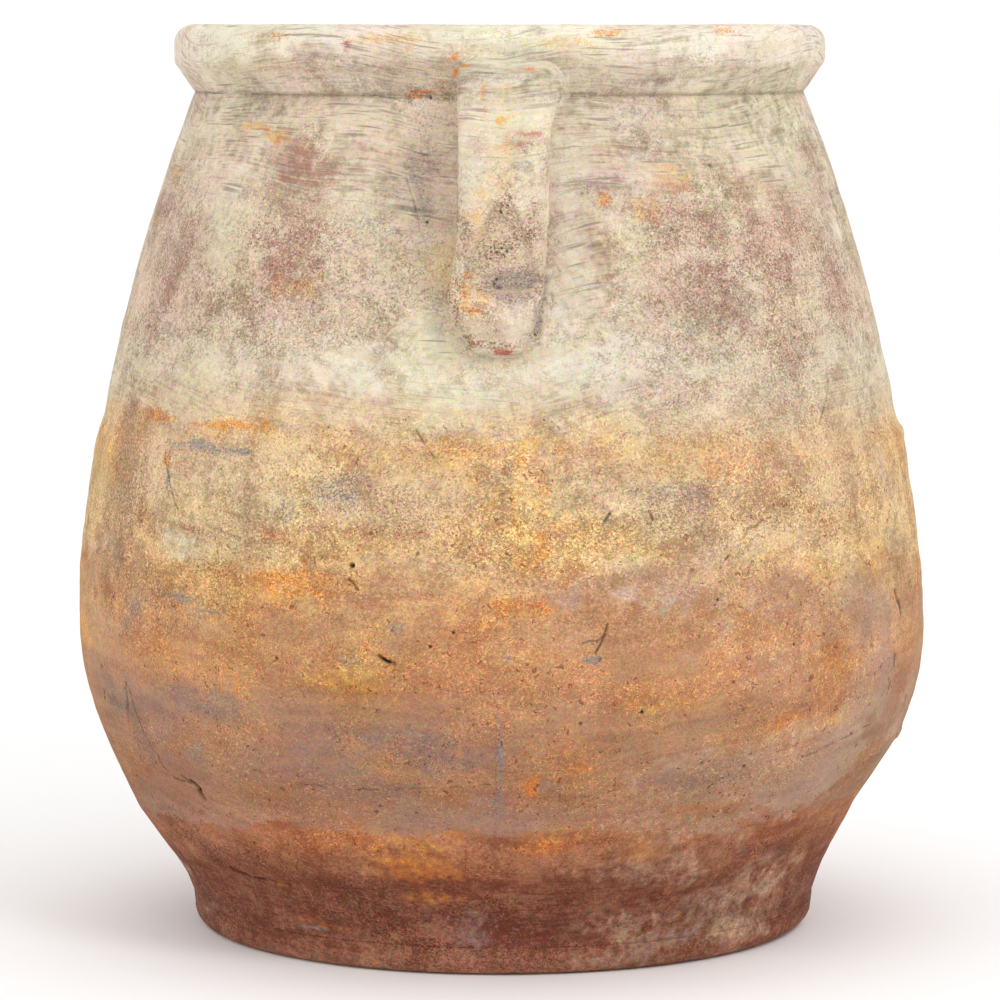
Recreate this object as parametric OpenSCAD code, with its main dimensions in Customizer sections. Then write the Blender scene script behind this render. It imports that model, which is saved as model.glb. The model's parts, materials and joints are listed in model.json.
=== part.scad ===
// Wide-mouthed clay amphora with a rolled rim, a short foot and two strap handles.
// It is put together as a potter lutes it: a floor slab, a wall pressed in two halves,
// a foot band, strips and coils over the joints, a rim roll, and two handles with their
// wads and pads. Millimetres, +Z up, origin on the axis at the resting face. The front
// handle points along -Y, the rear one along +Y, and the wall's halves meet at x = 0.

/* [Jar outline] */
// Height of the rim's top
total_h = 410; // [404:1:416]
// Radius of the foot just above its rounded lower edge
foot_r = 141.5; // [139:0.5:144]
// Radius of the waist where the foot turns into the belly
waist_r = 152; // [150:0.5:154]
// Largest radius of the belly
belly_r = 193.2; // [190:0.2:195]
// Height of the largest radius
belly_z = 140; // [135:1:145]
// Radius of the shoulder, level with the handles' lower ends
shoulder_r = 172.8; // [170:0.2:175]
// Radius of the neck under the rim
neck_r = 138; // [136:0.5:140]

/* [Wall and floor] */
// Thickness of the wall, square to its face
wall_t = 12; // [11:0.5:12]
// Thickness of the floor slab, which shows as the lowest ring of the foot
floor_t = 13; // [11:0.5:15]
// Radius of the floor slab's lower edge
foot_edge_r = 8.5; // [6:0.5:9]
// Height of the foot band's top
band_top_z = 36; // [32:1:40]
// Thickness of the foot band
band_t = 6; // [4:0.5:7]

/* [Rim] */
// Inside radius of the mouth
mouth_r = 125; // [122:0.5:125]
// Outside radius of the rim roll
rim_r = 147.4; // [146:0.2:149]
// Height of the rim roll
rim_h = 30; // [28:1:32]
// Width of the wall's tongue, which sits in a groove under the rim roll
tongue_w = 6; // [4:0.5:7]
// Height of that tongue
tongue_h = 12; // [8:1:14]

/* [Seams] */
// Width of the clay strip that fills each outside seam
strip_w = 8; // [6:0.5:10]
// Depth of that strip
strip_t = 4; // [3:0.5:5]
// Width of the coil smeared over each inside seam
coil_w = 16; // [12:1:20]
// Thickness of that coil
coil_t = 3.5; // [2:0.5:4]
// Leg of the coil between the floor and the wall
corner_leg = 14; // [10:1:16]

/* [Handles] */
// Distance from the axis to the middle of the strap, where it stands out most
handle_reach = 188.5; // [184:0.5:190]
// Half the strap's width at its narrowest
strap_half_w = 19.5; // [18:0.5:21]
// Half the strap's thickness
strap_half_t = 7.5; // [6.5:0.5:8]
// Half the width of the wad under the strap's upper end
wad_half_w = 16; // [12:1:17]
// Radius of the hollow that the wad is smoothed to
wad_hollow_r = 20; // [16:1:22]
// Half the width of the pad behind the strap's lower end
pad_half_w = 23.5; // [22:0.5:26]
// Thickness of that pad
pad_t = 3.2; // [2.5:0.1:4]
// Height of the pad's lower edge
pad_low_z = 266; // [262:1:268]
// Height of the pad's upper edge
pad_high_z = 314; // [312:1:318]

/* [Hidden] */
$fn = 96;

cream = [0.86, 0.81, 0.69];
ochre = [0.78, 0.62, 0.40];
seam_grey = [0.60, 0.46, 0.36];
raw_clay = [0.66, 0.40, 0.27];
foot_brown = [0.50, 0.28, 0.18];

neck_z = total_h - rim_h;
// Height between two levels of the outline's polygons
level_step = 12;
// Half-size of a cutter that reaches past the whole jar
past_all = 260;
// How far a cutter stands out of the face that it cuts
past_face = 2;
// Depth of the small chamfers that make the groove between the floor slab and the foot band
groove = 1.6;

// The outline's stations: height, radius and slope (change of radius with height)
SIDE = [
    [foot_edge_r, foot_r, 0.05],
    [36, waist_r, 0.63],
    [85, (waist_r + belly_r) / 2 + 7.6, 0.50],
    [belly_z, belly_r, 0],
    [270, shoulder_r, -0.24],
    [neck_z, neck_r, -0.40]
];

// A handle's stations: distance from the axis, height, half width and half thickness
STRAP = [
    [rim_r - 15, neck_z + 5, strap_half_w + 1.5, strap_half_t - 0.5],
    [rim_r + 4, neck_z + 8, strap_half_w + 3, strap_half_t],
    [handle_reach - 16, neck_z + 3, strap_half_w + 2, strap_half_t],
    [handle_reach - 3.5, neck_z - 12, strap_half_w + 0.8, strap_half_t],
    [handle_reach, neck_z - 30, strap_half_w + 0.5, strap_half_t],
    [handle_reach - 2.5, neck_z - 50, strap_half_w, strap_half_t],
    [handle_reach - 10, neck_z - 69, strap_half_w, strap_half_t],
    [handle_reach - 14, neck_z - 83, strap_half_w + 0.5, strap_half_t - 0.5],
    [handle_reach - 14.5, neck_z - 95, strap_half_w - 2.5, strap_half_t - 1],
    [handle_reach - 14, neck_z - 103, 7, strap_half_t - 3.5]
];
// Rings per stretch between two stations, and points round each ring
RINGS = 3;
ROUND = 16;

// ---- The jar's outline ----

// Number of the outline's stretch that holds height z
function stretch(z, i = 0) =
    (i >= len(SIDE) - 2 || z <= SIDE[i + 1][0]) ? i : stretch(z, i + 1);

// Cubic from one station to the next, at share t of the height between them
function cubic(a, b, h, t) =
    (2*t*t*t - 3*t*t + 1) * a[1] + (t*t*t - 2*t*t + t) * h * a[2]
    + (-2*t*t*t + 3*t*t) * b[1] + (t*t*t - t*t) * h * b[2];
function cubic_slope(a, b, h, t) =
    (6*t*t - 6*t) * (a[1] - b[1]) / h + (3*t*t - 4*t + 1) * a[2] + (3*t*t - 2*t) * b[2];

// Radius and slope of the jar's outside at height z
function side_r(z) =
    let (i = stretch(z), a = SIDE[i], b = SIDE[i + 1], h = b[0] - a[0])
    cubic(a, b, h, (z - a[0]) / h);
function side_slope(z) =
    let (i = stretch(z), a = SIDE[i], b = SIDE[i + 1], h = b[0] - a[0])
    cubic_slope(a, b, h, (z - a[0]) / h);

// Radius of the face that lies depth under the outside at height z
function face_r(z, depth) = side_r(z) - depth * sqrt(1 + pow(side_slope(z), 2));

// The ends of a stretch of wall, with whole steps between them
function levels(low, high) = concat(
    [low],
    [for (k = [floor(low / level_step) + 1 : ceil(high / level_step) - 1]) k * level_step],
    [high]
);
function reversed(list) = [for (i = [len(list) - 1 : -1 : 0]) list[i]];
function face_line(low, high, depth) = [for (z = levels(low, high)) [face_r(z, depth), z]];

// Points of an arc, in degrees
function arc(centre, r, from, to, steps = 6) = [
    for (i = [0 : steps])
        let (a = from + (to - from) * i / steps)
        centre + r * [cos(a), sin(a)]
];

// A ring of wall between two heights and two depths under the outside
module skin_ring(low, high, outer_depth, inner_depth) {
    rotate_extrude()
        polygon(concat(
            face_line(low, high, outer_depth),
            reversed(face_line(low, high, inner_depth))
        ));
}

// ---- The jar ----

module slab_section() {
    polygon(concat(
        [[0, 0]],
        arc([foot_r - foot_edge_r, foot_edge_r], foot_edge_r, -90, 0),
        [[side_r(floor_t - groove), floor_t - groove], [side_r(floor_t) - groove, floor_t]],
        [[0, floor_t]]
    ));
}

module floor_slab() {
    color(foot_brown) rotate_extrude() slab_section();
}

module band_section(proud) {
    polygon(concat(
        [[side_r(floor_t) - groove, floor_t], [side_r(floor_t + groove) + proud, floor_t + groove]],
        face_line(floor_t + 3, band_top_z, -proud),
        reversed(face_line(floor_t, band_top_z, band_t))
    ));
}

module foot_band() {
    color(foot_brown) rotate_extrude() band_section(0);
}

// Wall, with the tongue that goes up into the rim roll
module wall_section() {
    tongue_in = (mouth_r + neck_r - tongue_w) / 2;
    polygon(concat(
        face_line(floor_t, band_top_z, band_t),
        face_line(band_top_z, neck_z, 0),
        [
            [tongue_in + tongue_w, neck_z], [tongue_in + tongue_w, neck_z + tongue_h],
            [tongue_in, neck_z + tongue_h], [tongue_in, neck_z]
        ],
        reversed(face_line(floor_t, neck_z, wall_t))
    ));
}

// The strip in one outside seam, at -Y, reaching proud of the wall by that much
module seam_strip(proud) {
    intersection() {
        skin_ring(band_top_z, neck_z, -proud, strip_t);
        translate([-strip_w / 2, -past_all, 0])
            cube([strip_w, past_all, total_h]);
    }
}

// One half of the wall, at +X, less the two seam strips
module body_half() {
    difference() {
        rotate_extrude() wall_section();
        translate([-past_all, -past_all, -past_face])
            cube([past_all, 2 * past_all, total_h + 2 * past_face]);
        seam_strip(past_face);
        rotate([0, 0, 180]) seam_strip(past_face);
    }
}

module body_half_right() {
    color(ochre) body_half();
}

module body_half_left() {
    color(ochre) rotate([0, 0, 180]) body_half();
}

module front_seam_strip() {
    color(seam_grey) seam_strip(0);
}

module rear_seam_strip() {
    color(seam_grey) rotate([0, 0, 180]) seam_strip(0);
}

// The coil smeared over one inside seam, at -Y
module inner_seam_coil() {
    intersection() {
        skin_ring(floor_t + corner_leg, neck_z, wall_t, wall_t + coil_t);
        translate([-coil_w / 2, -past_all, 0])
            cube([coil_w, past_all, total_h]);
    }
}

module front_inner_seam_coil() {
    color(raw_clay) inner_seam_coil();
}

module rear_inner_seam_coil() {
    color(raw_clay) rotate([0, 0, 180]) inner_seam_coil();
}

// The coil in the corner between the floor and the wall, smoothed to a hollow face
module floor_corner_coil() {
    top = floor_t + corner_leg;
    corner = [face_r(floor_t, wall_t), floor_t];
    on_wall = [face_r(top, wall_t), top];
    on_floor = [corner[0] - corner_leg, floor_t];
    pull = 0.7 * corner + 0.15 * (on_wall + on_floor);
    color(raw_clay)
        rotate_extrude()
            polygon(concat(
                face_line(floor_t, top, wall_t),
                [
                    for (t = [0.2 : 0.2 : 0.8])
                        (1 - t) * (1 - t) * on_wall + 2 * t * (1 - t) * pull + t * t * on_floor
                ],
                [on_floor]
            ));
}

// The rim roll's outer outline, from the neck up to its flat top
function rim_outside() = concat(
    [[neck_r, neck_z], [neck_r + 3.2, neck_z + 4.6]],
    arc([rim_r - 6.5, neck_z + 15.5], 6.5, -48, 0, 4),
    arc([rim_r - 8.8, total_h - 8.8], 8.8, 0, 90)
);

module rim_roll() {
    tongue_in = (mouth_r + neck_r - tongue_w) / 2;
    color(cream)
        rotate_extrude()
            polygon(concat(
                rim_outside(),
                arc([mouth_r + 6, total_h - 6], 6, 90, 180),
                [
                    [mouth_r, neck_z], [tongue_in, neck_z], [tongue_in, neck_z + tongue_h],
                    [tongue_in + tongue_w, neck_z + tongue_h], [tongue_in + tongue_w, neck_z]
                ]
            ));
}

// The jar's outer shape as one solid, from under the shoulder to the rim's top
module jar_envelope() {
    low = 240;
    rotate_extrude()
        polygon(concat([[0, low]], face_line(low, neck_z, 0), rim_outside(), [[0, total_h]]));
}

// ---- The handles ----

// Smooth curve through four stations, at share t between the middle two
function smooth(a, b, c, d, t) =
    0.5 * (2 * b + (c - a) * t + (2*a - 5*b + 4*c - d) * t*t + (3*b - a - 3*c + d) * t*t*t);

// The strap's stations with the curve's rings between them
function strap_rings() = [
    for (i = [0 : len(STRAP) - 2])
        let (a = STRAP[max(i - 1, 0)], b = STRAP[i], c = STRAP[i + 1])
        let (d = STRAP[min(i + 2, len(STRAP) - 1)])
        for (k = [0 : RINGS - 1]) smooth(a, b, c, d, k / RINGS),
    STRAP[len(STRAP) - 1]
];

// A rounded-off number from -1 to 1, which makes a ring of cosines fuller at its corners
function fuller(v) = sign(v) * pow(abs(v), 0.62);

// One ring of the strap, square to its path from station before to station after
function ring_points(at, before, after) =
    let (along = [after[0] - before[0], after[1] - before[1]], n = along / norm(along))
    [
        for (k = [0 : ROUND - 1])
            let (a = 360 * (k + 0.5) / ROUND)
            let (across = at[2] * fuller(cos(a)), out = at[3] * fuller(sin(a)))
            [across, -(at[0] - n[1] * out), at[1] + n[0] * out]
    ];

module strap_sweep() {
    rings = strap_rings();
    last = len(rings) - 1;
    points = [
        for (i = [0 : last])
            each ring_points(rings[i], rings[max(i - 1, 0)], rings[min(i + 1, last)])
    ];
    sides = [
        for (i = [0 : last - 1], k = [0 : ROUND - 1])
            let (m = (k + 1) % ROUND)
            each [
                [i * ROUND + k, i * ROUND + m, (i + 1) * ROUND + m],
                [i * ROUND + k, (i + 1) * ROUND + m, (i + 1) * ROUND + k]
            ]
    ];
    ends = [
        [for (k = [ROUND - 1 : -1 : 0]) k],
        [for (k = [0 : ROUND - 1]) last * ROUND + k]
    ];
    polyhedron(points, concat(sides, ends), convexity = 6);
}

// Pad of clay on the wall behind the strap's lower end
module handle_pad() {
    low = pad_low_z + pad_half_w;
    high = pad_high_z - pad_half_w / 2;
    intersection() {
        skin_ring(pad_low_z - level_step, pad_high_z + level_step, -pad_t, 0);
        rotate([90, 0, 0])
            linear_extrude(past_all)
                union() {
                    translate([0, low]) circle(pad_half_w);
                    translate([-pad_half_w, low]) square([2 * pad_half_w, high - low]);
                    translate([-pad_half_w, high - past_face])
                        square([2 * pad_half_w, pad_half_w / 2 + past_face]);
                }
    }
}

module handle_strap() {
    difference() {
        strap_sweep();
        jar_envelope();
        handle_pad();
    }
}

// Wad of clay that fills the corner between the neck and the strap's underside
module handle_wad() {
    low = neck_z - 24;
    outer = neck_r + 8 + wad_hollow_r;
    difference() {
        rotate([90, 0, 0])
            rotate([0, 90, 0])
                translate([0, 0, -wad_half_w])
                    linear_extrude(2 * wad_half_w)
                        polygon(concat(
                            [[neck_r - 8, low - 4]],
                            arc([outer, low], wad_hollow_r, 180, 84),
                            [[outer + 2, neck_z + 3], [neck_r - 8, neck_z + 3]]
                        ));
        jar_envelope();
        strap_sweep();
    }
}

module front_handle_strap() {
    color(cream) handle_strap();
}

module front_handle_upper_wad() {
    color(cream) handle_wad();
}

module front_handle_lower_pad() {
    color(cream) handle_pad();
}

module rear_handle_strap() {
    color(cream) rotate([0, 0, 180]) handle_strap();
}

module rear_handle_upper_wad() {
    color(cream) rotate([0, 0, 180]) handle_wad();
}

module rear_handle_lower_pad() {
    color(cream) rotate([0, 0, 180]) handle_pad();
}

floor_slab();
foot_band();
body_half_left();
body_half_right();
front_seam_strip();
rear_seam_strip();
front_inner_seam_coil();
rear_inner_seam_coil();
floor_corner_coil();
rim_roll();
front_handle_strap();
front_handle_upper_wad();
front_handle_lower_pad();
rear_handle_strap();
rear_handle_upper_wad();
rear_handle_lower_pad();
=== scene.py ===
"""The looks of a wide-mouthed clay amphora: hand-built clay under worn limewash and ochre bands.

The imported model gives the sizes. Shapes are worked out in millimetres and written in metres.
Angles are degrees round the jar from its front handle, growing towards +X.
"""
import json
import math
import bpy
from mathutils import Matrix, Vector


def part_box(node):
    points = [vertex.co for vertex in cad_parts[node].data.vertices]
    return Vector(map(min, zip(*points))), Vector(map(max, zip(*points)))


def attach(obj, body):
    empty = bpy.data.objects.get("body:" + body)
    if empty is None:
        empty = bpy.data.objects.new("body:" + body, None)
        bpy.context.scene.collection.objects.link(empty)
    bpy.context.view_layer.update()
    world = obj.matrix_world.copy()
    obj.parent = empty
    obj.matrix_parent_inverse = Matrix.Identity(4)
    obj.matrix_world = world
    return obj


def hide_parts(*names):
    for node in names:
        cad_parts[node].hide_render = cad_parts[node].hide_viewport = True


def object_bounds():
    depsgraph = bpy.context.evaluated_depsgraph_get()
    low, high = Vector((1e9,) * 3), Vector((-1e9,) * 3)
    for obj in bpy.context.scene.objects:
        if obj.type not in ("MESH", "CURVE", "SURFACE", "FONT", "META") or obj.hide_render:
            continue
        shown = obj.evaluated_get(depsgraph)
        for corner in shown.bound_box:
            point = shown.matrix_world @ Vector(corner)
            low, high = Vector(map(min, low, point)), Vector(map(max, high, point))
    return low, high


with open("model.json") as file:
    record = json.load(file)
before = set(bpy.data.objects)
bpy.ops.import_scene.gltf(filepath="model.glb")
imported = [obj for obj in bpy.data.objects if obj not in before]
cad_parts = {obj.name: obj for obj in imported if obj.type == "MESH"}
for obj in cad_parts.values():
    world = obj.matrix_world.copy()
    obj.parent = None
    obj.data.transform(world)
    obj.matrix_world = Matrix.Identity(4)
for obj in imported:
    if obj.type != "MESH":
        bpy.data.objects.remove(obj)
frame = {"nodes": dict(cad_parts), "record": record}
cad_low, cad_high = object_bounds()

from types import SimpleNamespace

import bmesh
import bpy
import numpy as np
import openvdb

MM = 0.001


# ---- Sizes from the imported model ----

def corners(name):
    low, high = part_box(name)
    return np.array(low) / MM, np.array(high) / MM


TOTAL_H = cad_high.z / MM
FLOOR_T = corners("floor_slab")[1][2]
BAND_TOP = corners("foot_band")[1][2]
NECK_Z = corners("rim_roll")[0][2]
RIM_R = corners("rim_roll")[1][0]
STRIP_HALF = corners("front_seam_strip")[1][0]
COIL_HALF = corners("front_inner_seam_coil")[1][0]
CORNER_TOP = corners("floor_corner_coil")[1][2]
STRAP_OUT = -corners("front_handle_strap")[0][1]
PAD_LOW, PAD_HIGH = (corners("front_handle_lower_pad")[i] for i in (0, 1))
MOUTH_R = next(m["dims"]["r_mm"] for m in frame["record"]["mounts"] if m["name"] == "mouth")

WALL_T = 12
BAND_T = 6
STRIP_T = 4
COIL_T = 3.5
FOOT_EDGE_R = 8.5
TONGUE_W = 6
TONGUE_H = 12
# Depth of the chamfers that part the floor slab from the foot band, in the CAD and smeared over
GROOVE = 1.6
SEEN_GROOVE = 0.35

# Length of a mesh face on what the eye sees, and inside the jar
FINE = 1.55
COARSE = 9


# ---- Noise ----

LATTICE_SIZE = 32
LATTICE = np.random.default_rng(7).uniform(-1, 1, (LATTICE_SIZE,) * 3).astype(np.float32)
# One more layer on each side, equal to the first, so that a cell's far corners need no wrapping
LATTICE = np.pad(LATTICE, (0, 1), "wrap").ravel()


def noise(points, size, seed):
    """Smooth noise from -1 to 1 with lumps about size wide. Size may be one number or three."""
    p = (np.asarray(points) / size + np.array([3.17, 5.71, 9.13]) * seed).astype(np.float32)
    cell = np.floor(p)
    t = p - cell
    t *= t * (3 - 2 * t)
    cell = cell.astype(np.int32) % LATTICE_SIZE
    row = LATTICE_SIZE + 1
    first = (cell[:, 0] * row + cell[:, 1]) * row + cell[:, 2]
    x, y, z = t.T
    pairs = []
    for step in (0, row, row * row, row * row + row):
        near, far = LATTICE[first + step], LATTICE[first + step + 1]
        pairs.append(near + (far - near) * z)
    left = pairs[0] + (pairs[1] - pairs[0]) * y
    right = pairs[2] + (pairs[3] - pairs[2]) * y
    return (left + (right - left) * x).astype(float)


def rise(value, low, high):
    """0 below low, 1 above high, and smooth between."""
    t = np.clip((value - low) / (high - low), 0, 1)
    return t * t * (3 - 2 * t)


def bump(value, centre, spread):
    """1 at the centre, falling smoothly to 0 a little over one spread away."""
    return np.exp(-(((value - centre) / spread) ** 2))


# ---- The jar's outline, measured on the CAD model ----

def measured_radius(name, z):
    """Radius of the CAD node's outside at height z, on the +X side."""
    hit, place, _, _ = frame["nodes"][name].ray_cast((1, 0, z * MM), (-1, 0, 0))
    return place.x / MM if hit else None


RING_STEP = 14
HEIGHTS = [("foot_band", z) for z in np.linspace(FLOOR_T + GROOVE + 0.1, BAND_TOP - 0.1, 3)]
HEIGHTS += [("body_half_right", z) for z in np.arange(BAND_TOP + 12, NECK_Z - 8, RING_STEP)]
HEIGHTS += [("body_half_right", NECK_Z - 0.1)]
RING_Z = np.array([z for _, z in HEIGHTS])
RING_R = np.array([measured_radius(name, z) for name, z in HEIGHTS])
RING_SLOPE = np.gradient(RING_R, RING_Z)
NECK_R = RING_R[-1]


def side_r(z):
    """Radius of the outside at height z."""
    z = np.clip(z, RING_Z[0], RING_Z[-1])
    i = np.clip(np.searchsorted(RING_Z, z) - 1, 0, len(RING_Z) - 2)
    h = RING_Z[i + 1] - RING_Z[i]
    t = (z - RING_Z[i]) / h
    return (
        (2 * t**3 - 3 * t**2 + 1) * RING_R[i] + (t**3 - 2 * t**2 + t) * h * RING_SLOPE[i]
        + (3 * t**2 - 2 * t**3) * RING_R[i + 1] + (t**3 - t**2) * h * RING_SLOPE[i + 1]
    )


def side_slope(z):
    return side_r(z + 0.5) - side_r(z - 0.5)


def face_r(z, depth):
    """Radius of the face that lies depth under the outside."""
    return side_r(z) - depth * np.sqrt(1 + side_slope(z) ** 2)


def turned(radius, z, angle):
    """Points at a radius, height and angle."""
    a = np.radians(angle)
    return np.stack(np.broadcast_arrays(radius * np.sin(a), -radius * np.cos(a), z), -1)


def on_side(angle, z):
    """A point on the jar's outside."""
    return turned(side_r(z), z, angle)


def angle_of(points):
    return np.degrees(np.arctan2(points[:, 0], -points[:, 1]))


def off_side(points):
    """How far points stand outside the jar's turned outline."""
    return np.hypot(points[:, 0], points[:, 1]) - side_r(points[:, 2])


def handle_x(points):
    """Millimetres across the nearer handle, the same way round on both."""
    return points[:, 0] * np.where(points[:, 1] < 0, 1, -1)


# ---- Marks in the clay: pits, cracks and ridges ----

RNG = np.random.default_rng(21)


def jagged(route, step=3.0, swing=0.35):
    """A route of (angle, height) on the jar's side as 3-D points, bent at random like a crack."""
    points = [on_side(*at) for at in route]
    out = [points[0]]
    for a, b in zip(points, points[1:]):
        count = max(1, int(np.linalg.norm(b - a) / step))
        for k in range(1, count + 1):
            sway = RNG.normal(0, swing, 3) if k < count else 0
            out.append(a + (b - a) * k / count + sway)
    return np.array(out)


# Pits: angle, height, radius and depth
PITS = [
    (-19.8, 184, 1.3, 1.8), (-30, 143, 0.9, 1.0), (-18, 77, 0.9, 1.2), (-9.4, 151, 0.8, 0.8),
    (-48.4, 78, 1.3, 1.9), (-50, 41, 1.2, 1.4), (-70, 111, 1.2, 1.3), (24.4, 181, 0.9, 1.0),
    (63.6, 158, 0.8, 0.9), (57, 95, 0.9, 0.9), (56.5, 140, 1.1, 1.0), (54, 102, 0.8, 0.8),
    (17.5, 122, 0.9, 0.9), (32, 120, 0.8, 0.9), (9.5, 118, 0.8, 0.8), (27, 97, 0.9, 0.8),
    (34, 94, 0.9, 0.9), (36.7, 350, 1.1, 1.2), (28, 168, 0.7, 0.7), (6.5, 192, 0.6, 0.6),
    (-12, 327, 0.8, 0.5), (-6.5, 157, 0.8, 0.8), (14.5, 382, 0.9, 0.9), (40, 146, 0.7, 0.7),
]

# Cracks and scores: half width, depth, how dark the bottom is, then the route
CRACKS = [
    (0.7, 1.6, 1.0, [(-20.1, 178), (-19.4, 176), (-18.9, 174)]),
    (0.8, 1.6, 1.0, [(-15.9, 146.5), (-15, 144.5), (-14, 143.5)]),
    (1.1, 1.8, 1.0, [(-49.6, 82), (-48.6, 81), (-48, 79.5), (-48.2, 77.5), (-47.8, 75)]),
    (0.5, 0.8, 0.7, [(-51.5, 84), (-50.4, 82.5), (-49.6, 81.6)]),
    (0.5, 0.8, 0.6, [(-59.5, 121), (-58.5, 106), (-57.3, 96), (-55.6, 86), (-53.4, 81.5), (-49.8, 81)]),
    (0.4, 0.45, 0.4, [(-36, 92), (-27, 88), (-19, 87.5), (-12, 89), (-2, 91.5)]),
    (1.1, 1.8, 1.0, [(64.4, 161), (64.9, 157.5), (65.8, 154), (66.3, 150)]),
    (0.9, 1.2, 1.0, [(63.6, 133), (63.5, 128)]),
    (0.7, 1.0, 1.0, [(62.8, 121), (62.4, 116)]),
    (0.45, 0.6, 0.6, [(-53.2, 231), (-52.5, 222), (-51, 213), (-48.5, 202)]),
    (0.5, 0.9, 0.6, [(12.9, 160), (12.6, 157), (12, 152), (11.3, 148)]),
    (0.5, 0.5, 0.5, [(12.8, 156), (11.5, 153), (9.2, 152)]),
    (0.7, 0.9, 0.9, [(13.6, 206), (13.1, 204), (12.7, 202)]),
    (0.6, 0.7, 0.7, [(19, 206), (19.4, 203)]),
    (0.45, 0.6, 0.4, [(45, 95), (49, 98), (54, 101), (58.7, 104)]),
    (0.6, 0.7, 0.3, [(53.6, 256), (52.6, 250), (51, 244), (49.8, 239)]),
    (0.8, 1.2, 0.9, [(-13, 379.3), (-11.5, 379), (-9.8, 379.2)]),
    (0.5, 0.4, 0.3, [(-22.6, 379.6), (-18, 379), (-13, 379.4)]),
    (0.45, 0.4, 0.2, [(-16.6, 352), (-15.6, 343), (-14, 333), (-13, 323)]),
    (0.8, 1.2, 0.9, [(-51, 40), (-48, 39), (-44.6, 37.6), (-40.5, 36.8), (-37.6, 36.6)]),
    (0.45, 0.5, 0.5, [(-12, 241), (-11, 236), (-9.8, 231), (-8.6, 226)]),
    (0.5, 0.5, 0.6, [(30, 186), (29, 183), (28.6, 181)]),
    (0.6, 0.6, 0.4, [(36, 200), (34.6, 197.5), (33.4, 197), (32.5, 193)]),
    (0.9, 0.7, 0.4, [(-60, 122), (-61, 112), (-62, 104)]),
]

# Ridges: half width, height and route
RIDGES = [
    (2.4, 0.55, [(-3, 73), (10, 71.5), (25, 70), (40, 66), (52, 61)]),
    (2.0, 0.45, [(-48, 66), (-36, 68.5), (-24, 69.5), (-14, 71)]),
    (3.0, 0.9, [(66, 229), (78, 226), (92, 225), (104, 228)]),
    (3.0, 0.9, [(70, 94), (80, 91), (96, 90), (110, 93)]),
    (2.2, 0.4, [(-80, 170), (-60, 167), (-38, 171)]),
    (1.8, 0.35, [(16, 168), (30, 166), (44, 165)]),
]


def scattered_marks():
    """Pits, cracks and ridges for the sides and back, in the same sizes as the front's."""
    for _ in range(95):
        angle, z = RNG.uniform(68, 292), RNG.triangular(38, 120, 375)
        radius = RNG.uniform(0.5, 1.35)
        PITS.append((angle, z, radius, radius * RNG.uniform(0.8, 1.2)))
    for _ in range(17):
        angle, z = RNG.uniform(75, 285), RNG.uniform(45, 250)
        lean, run = RNG.uniform(-4, 4), RNG.uniform(-16, 16)
        CRACKS.append((RNG.uniform(0.45, 0.8), RNG.uniform(0.5, 1.2), RNG.uniform(0.5, 0.9),
                       [(angle, z), (angle + lean * 0.6, z + run * 0.5), (angle + lean, z + run)]))
    for _ in range(9):
        angle, z = RNG.uniform(100, 240), RNG.uniform(50, 240)
        RIDGES.append((RNG.uniform(1.6, 2.8), RNG.uniform(0.3, 0.6),
                       [(angle, z), (angle + 12, z + RNG.uniform(-2, 2)), (angle + 26, z)]))


scattered_marks()

# Every mark as (3-D points, half width, rise of the surface, darkness)
MARKS = (
    [(on_side(a, z)[None], radius, -depth, 1.0) for a, z, radius, depth in PITS]
    + [(jagged(route), width, -depth, dark) for width, depth, dark, route in CRACKS]
    + [(jagged(route, 6, 0.25), width, height, 0.0) for width, height, route in RIDGES]
)


def distance_to_line(points, line):
    """Distance from each point to a line of 3-D points, or to the one point that it has."""
    if len(line) == 1:
        return np.linalg.norm(points - line[0], axis=1)
    best = np.full(len(points), np.inf)
    for a, b in zip(line, line[1:]):
        along = b - a
        share = np.clip((points - a) @ along / max(along @ along, 1e-9), 0, 1)
        best = np.minimum(best, np.linalg.norm(points - a - share[:, None] * along, axis=1))
    return best


def near_marks(points, reach):
    """For each mark with points within reach of it: the mark, those points' numbers and distances."""
    for line, width, lift, dark in MARKS:
        margin = width + reach
        inside = np.all((points > line.min(0) - margin) & (points < line.max(0) + margin), axis=1)
        picked = np.flatnonzero(inside)
        if len(picked):
            yield width, lift, dark, picked, distance_to_line(points[picked], line)


def marks_at(points):
    """Rise of the surface from the marks, and how dark they make it."""
    lift_sum, darkness = np.zeros(len(points)), np.zeros(len(points))
    for width, lift, dark, picked, distance in near_marks(points, 1.5):
        share = 1 - rise(distance, width * 0.35, width * 1.35)
        lift_sum[picked] += lift * share
        patchiness = 0.25 + 0.75 * rise(noise(points[picked], 3.5, 37), -0.5, 0.3) if len(picked) > 60 else 1
        darkness[picked] = np.maximum(darkness[picked], dark * share * patchiness)
    return lift_sum, darkness


# ---- The hand-built surface ----

# Height of the ochre band's top, under a low step in the wall
OCHRE_TOP = NECK_Z - 144

# How far the jar leans towards +X at each height
SWAY_Z = (0, 12, 22, 34, 46, 57, 72, 90, 112, 140, 170)
SWAY = (1.6, 1.6, 1.0, -0.1, -1.4, -2.3, -1.0, 0.6, 1.1, 0.5, 0)


def wobble(points):
    """How far the face stands off its turned shape, without the small marks."""
    return (
        0.75 * noise(points, 115, 1)
        + 0.32 * noise(points, 38, 2)
        + 0.20 * noise(points, 14, 3)
        + 0.24 * noise(points, (80, 80, 10), 4)
        + 0.10 * noise(points, (40, 40, 4), 5)
    )


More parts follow.
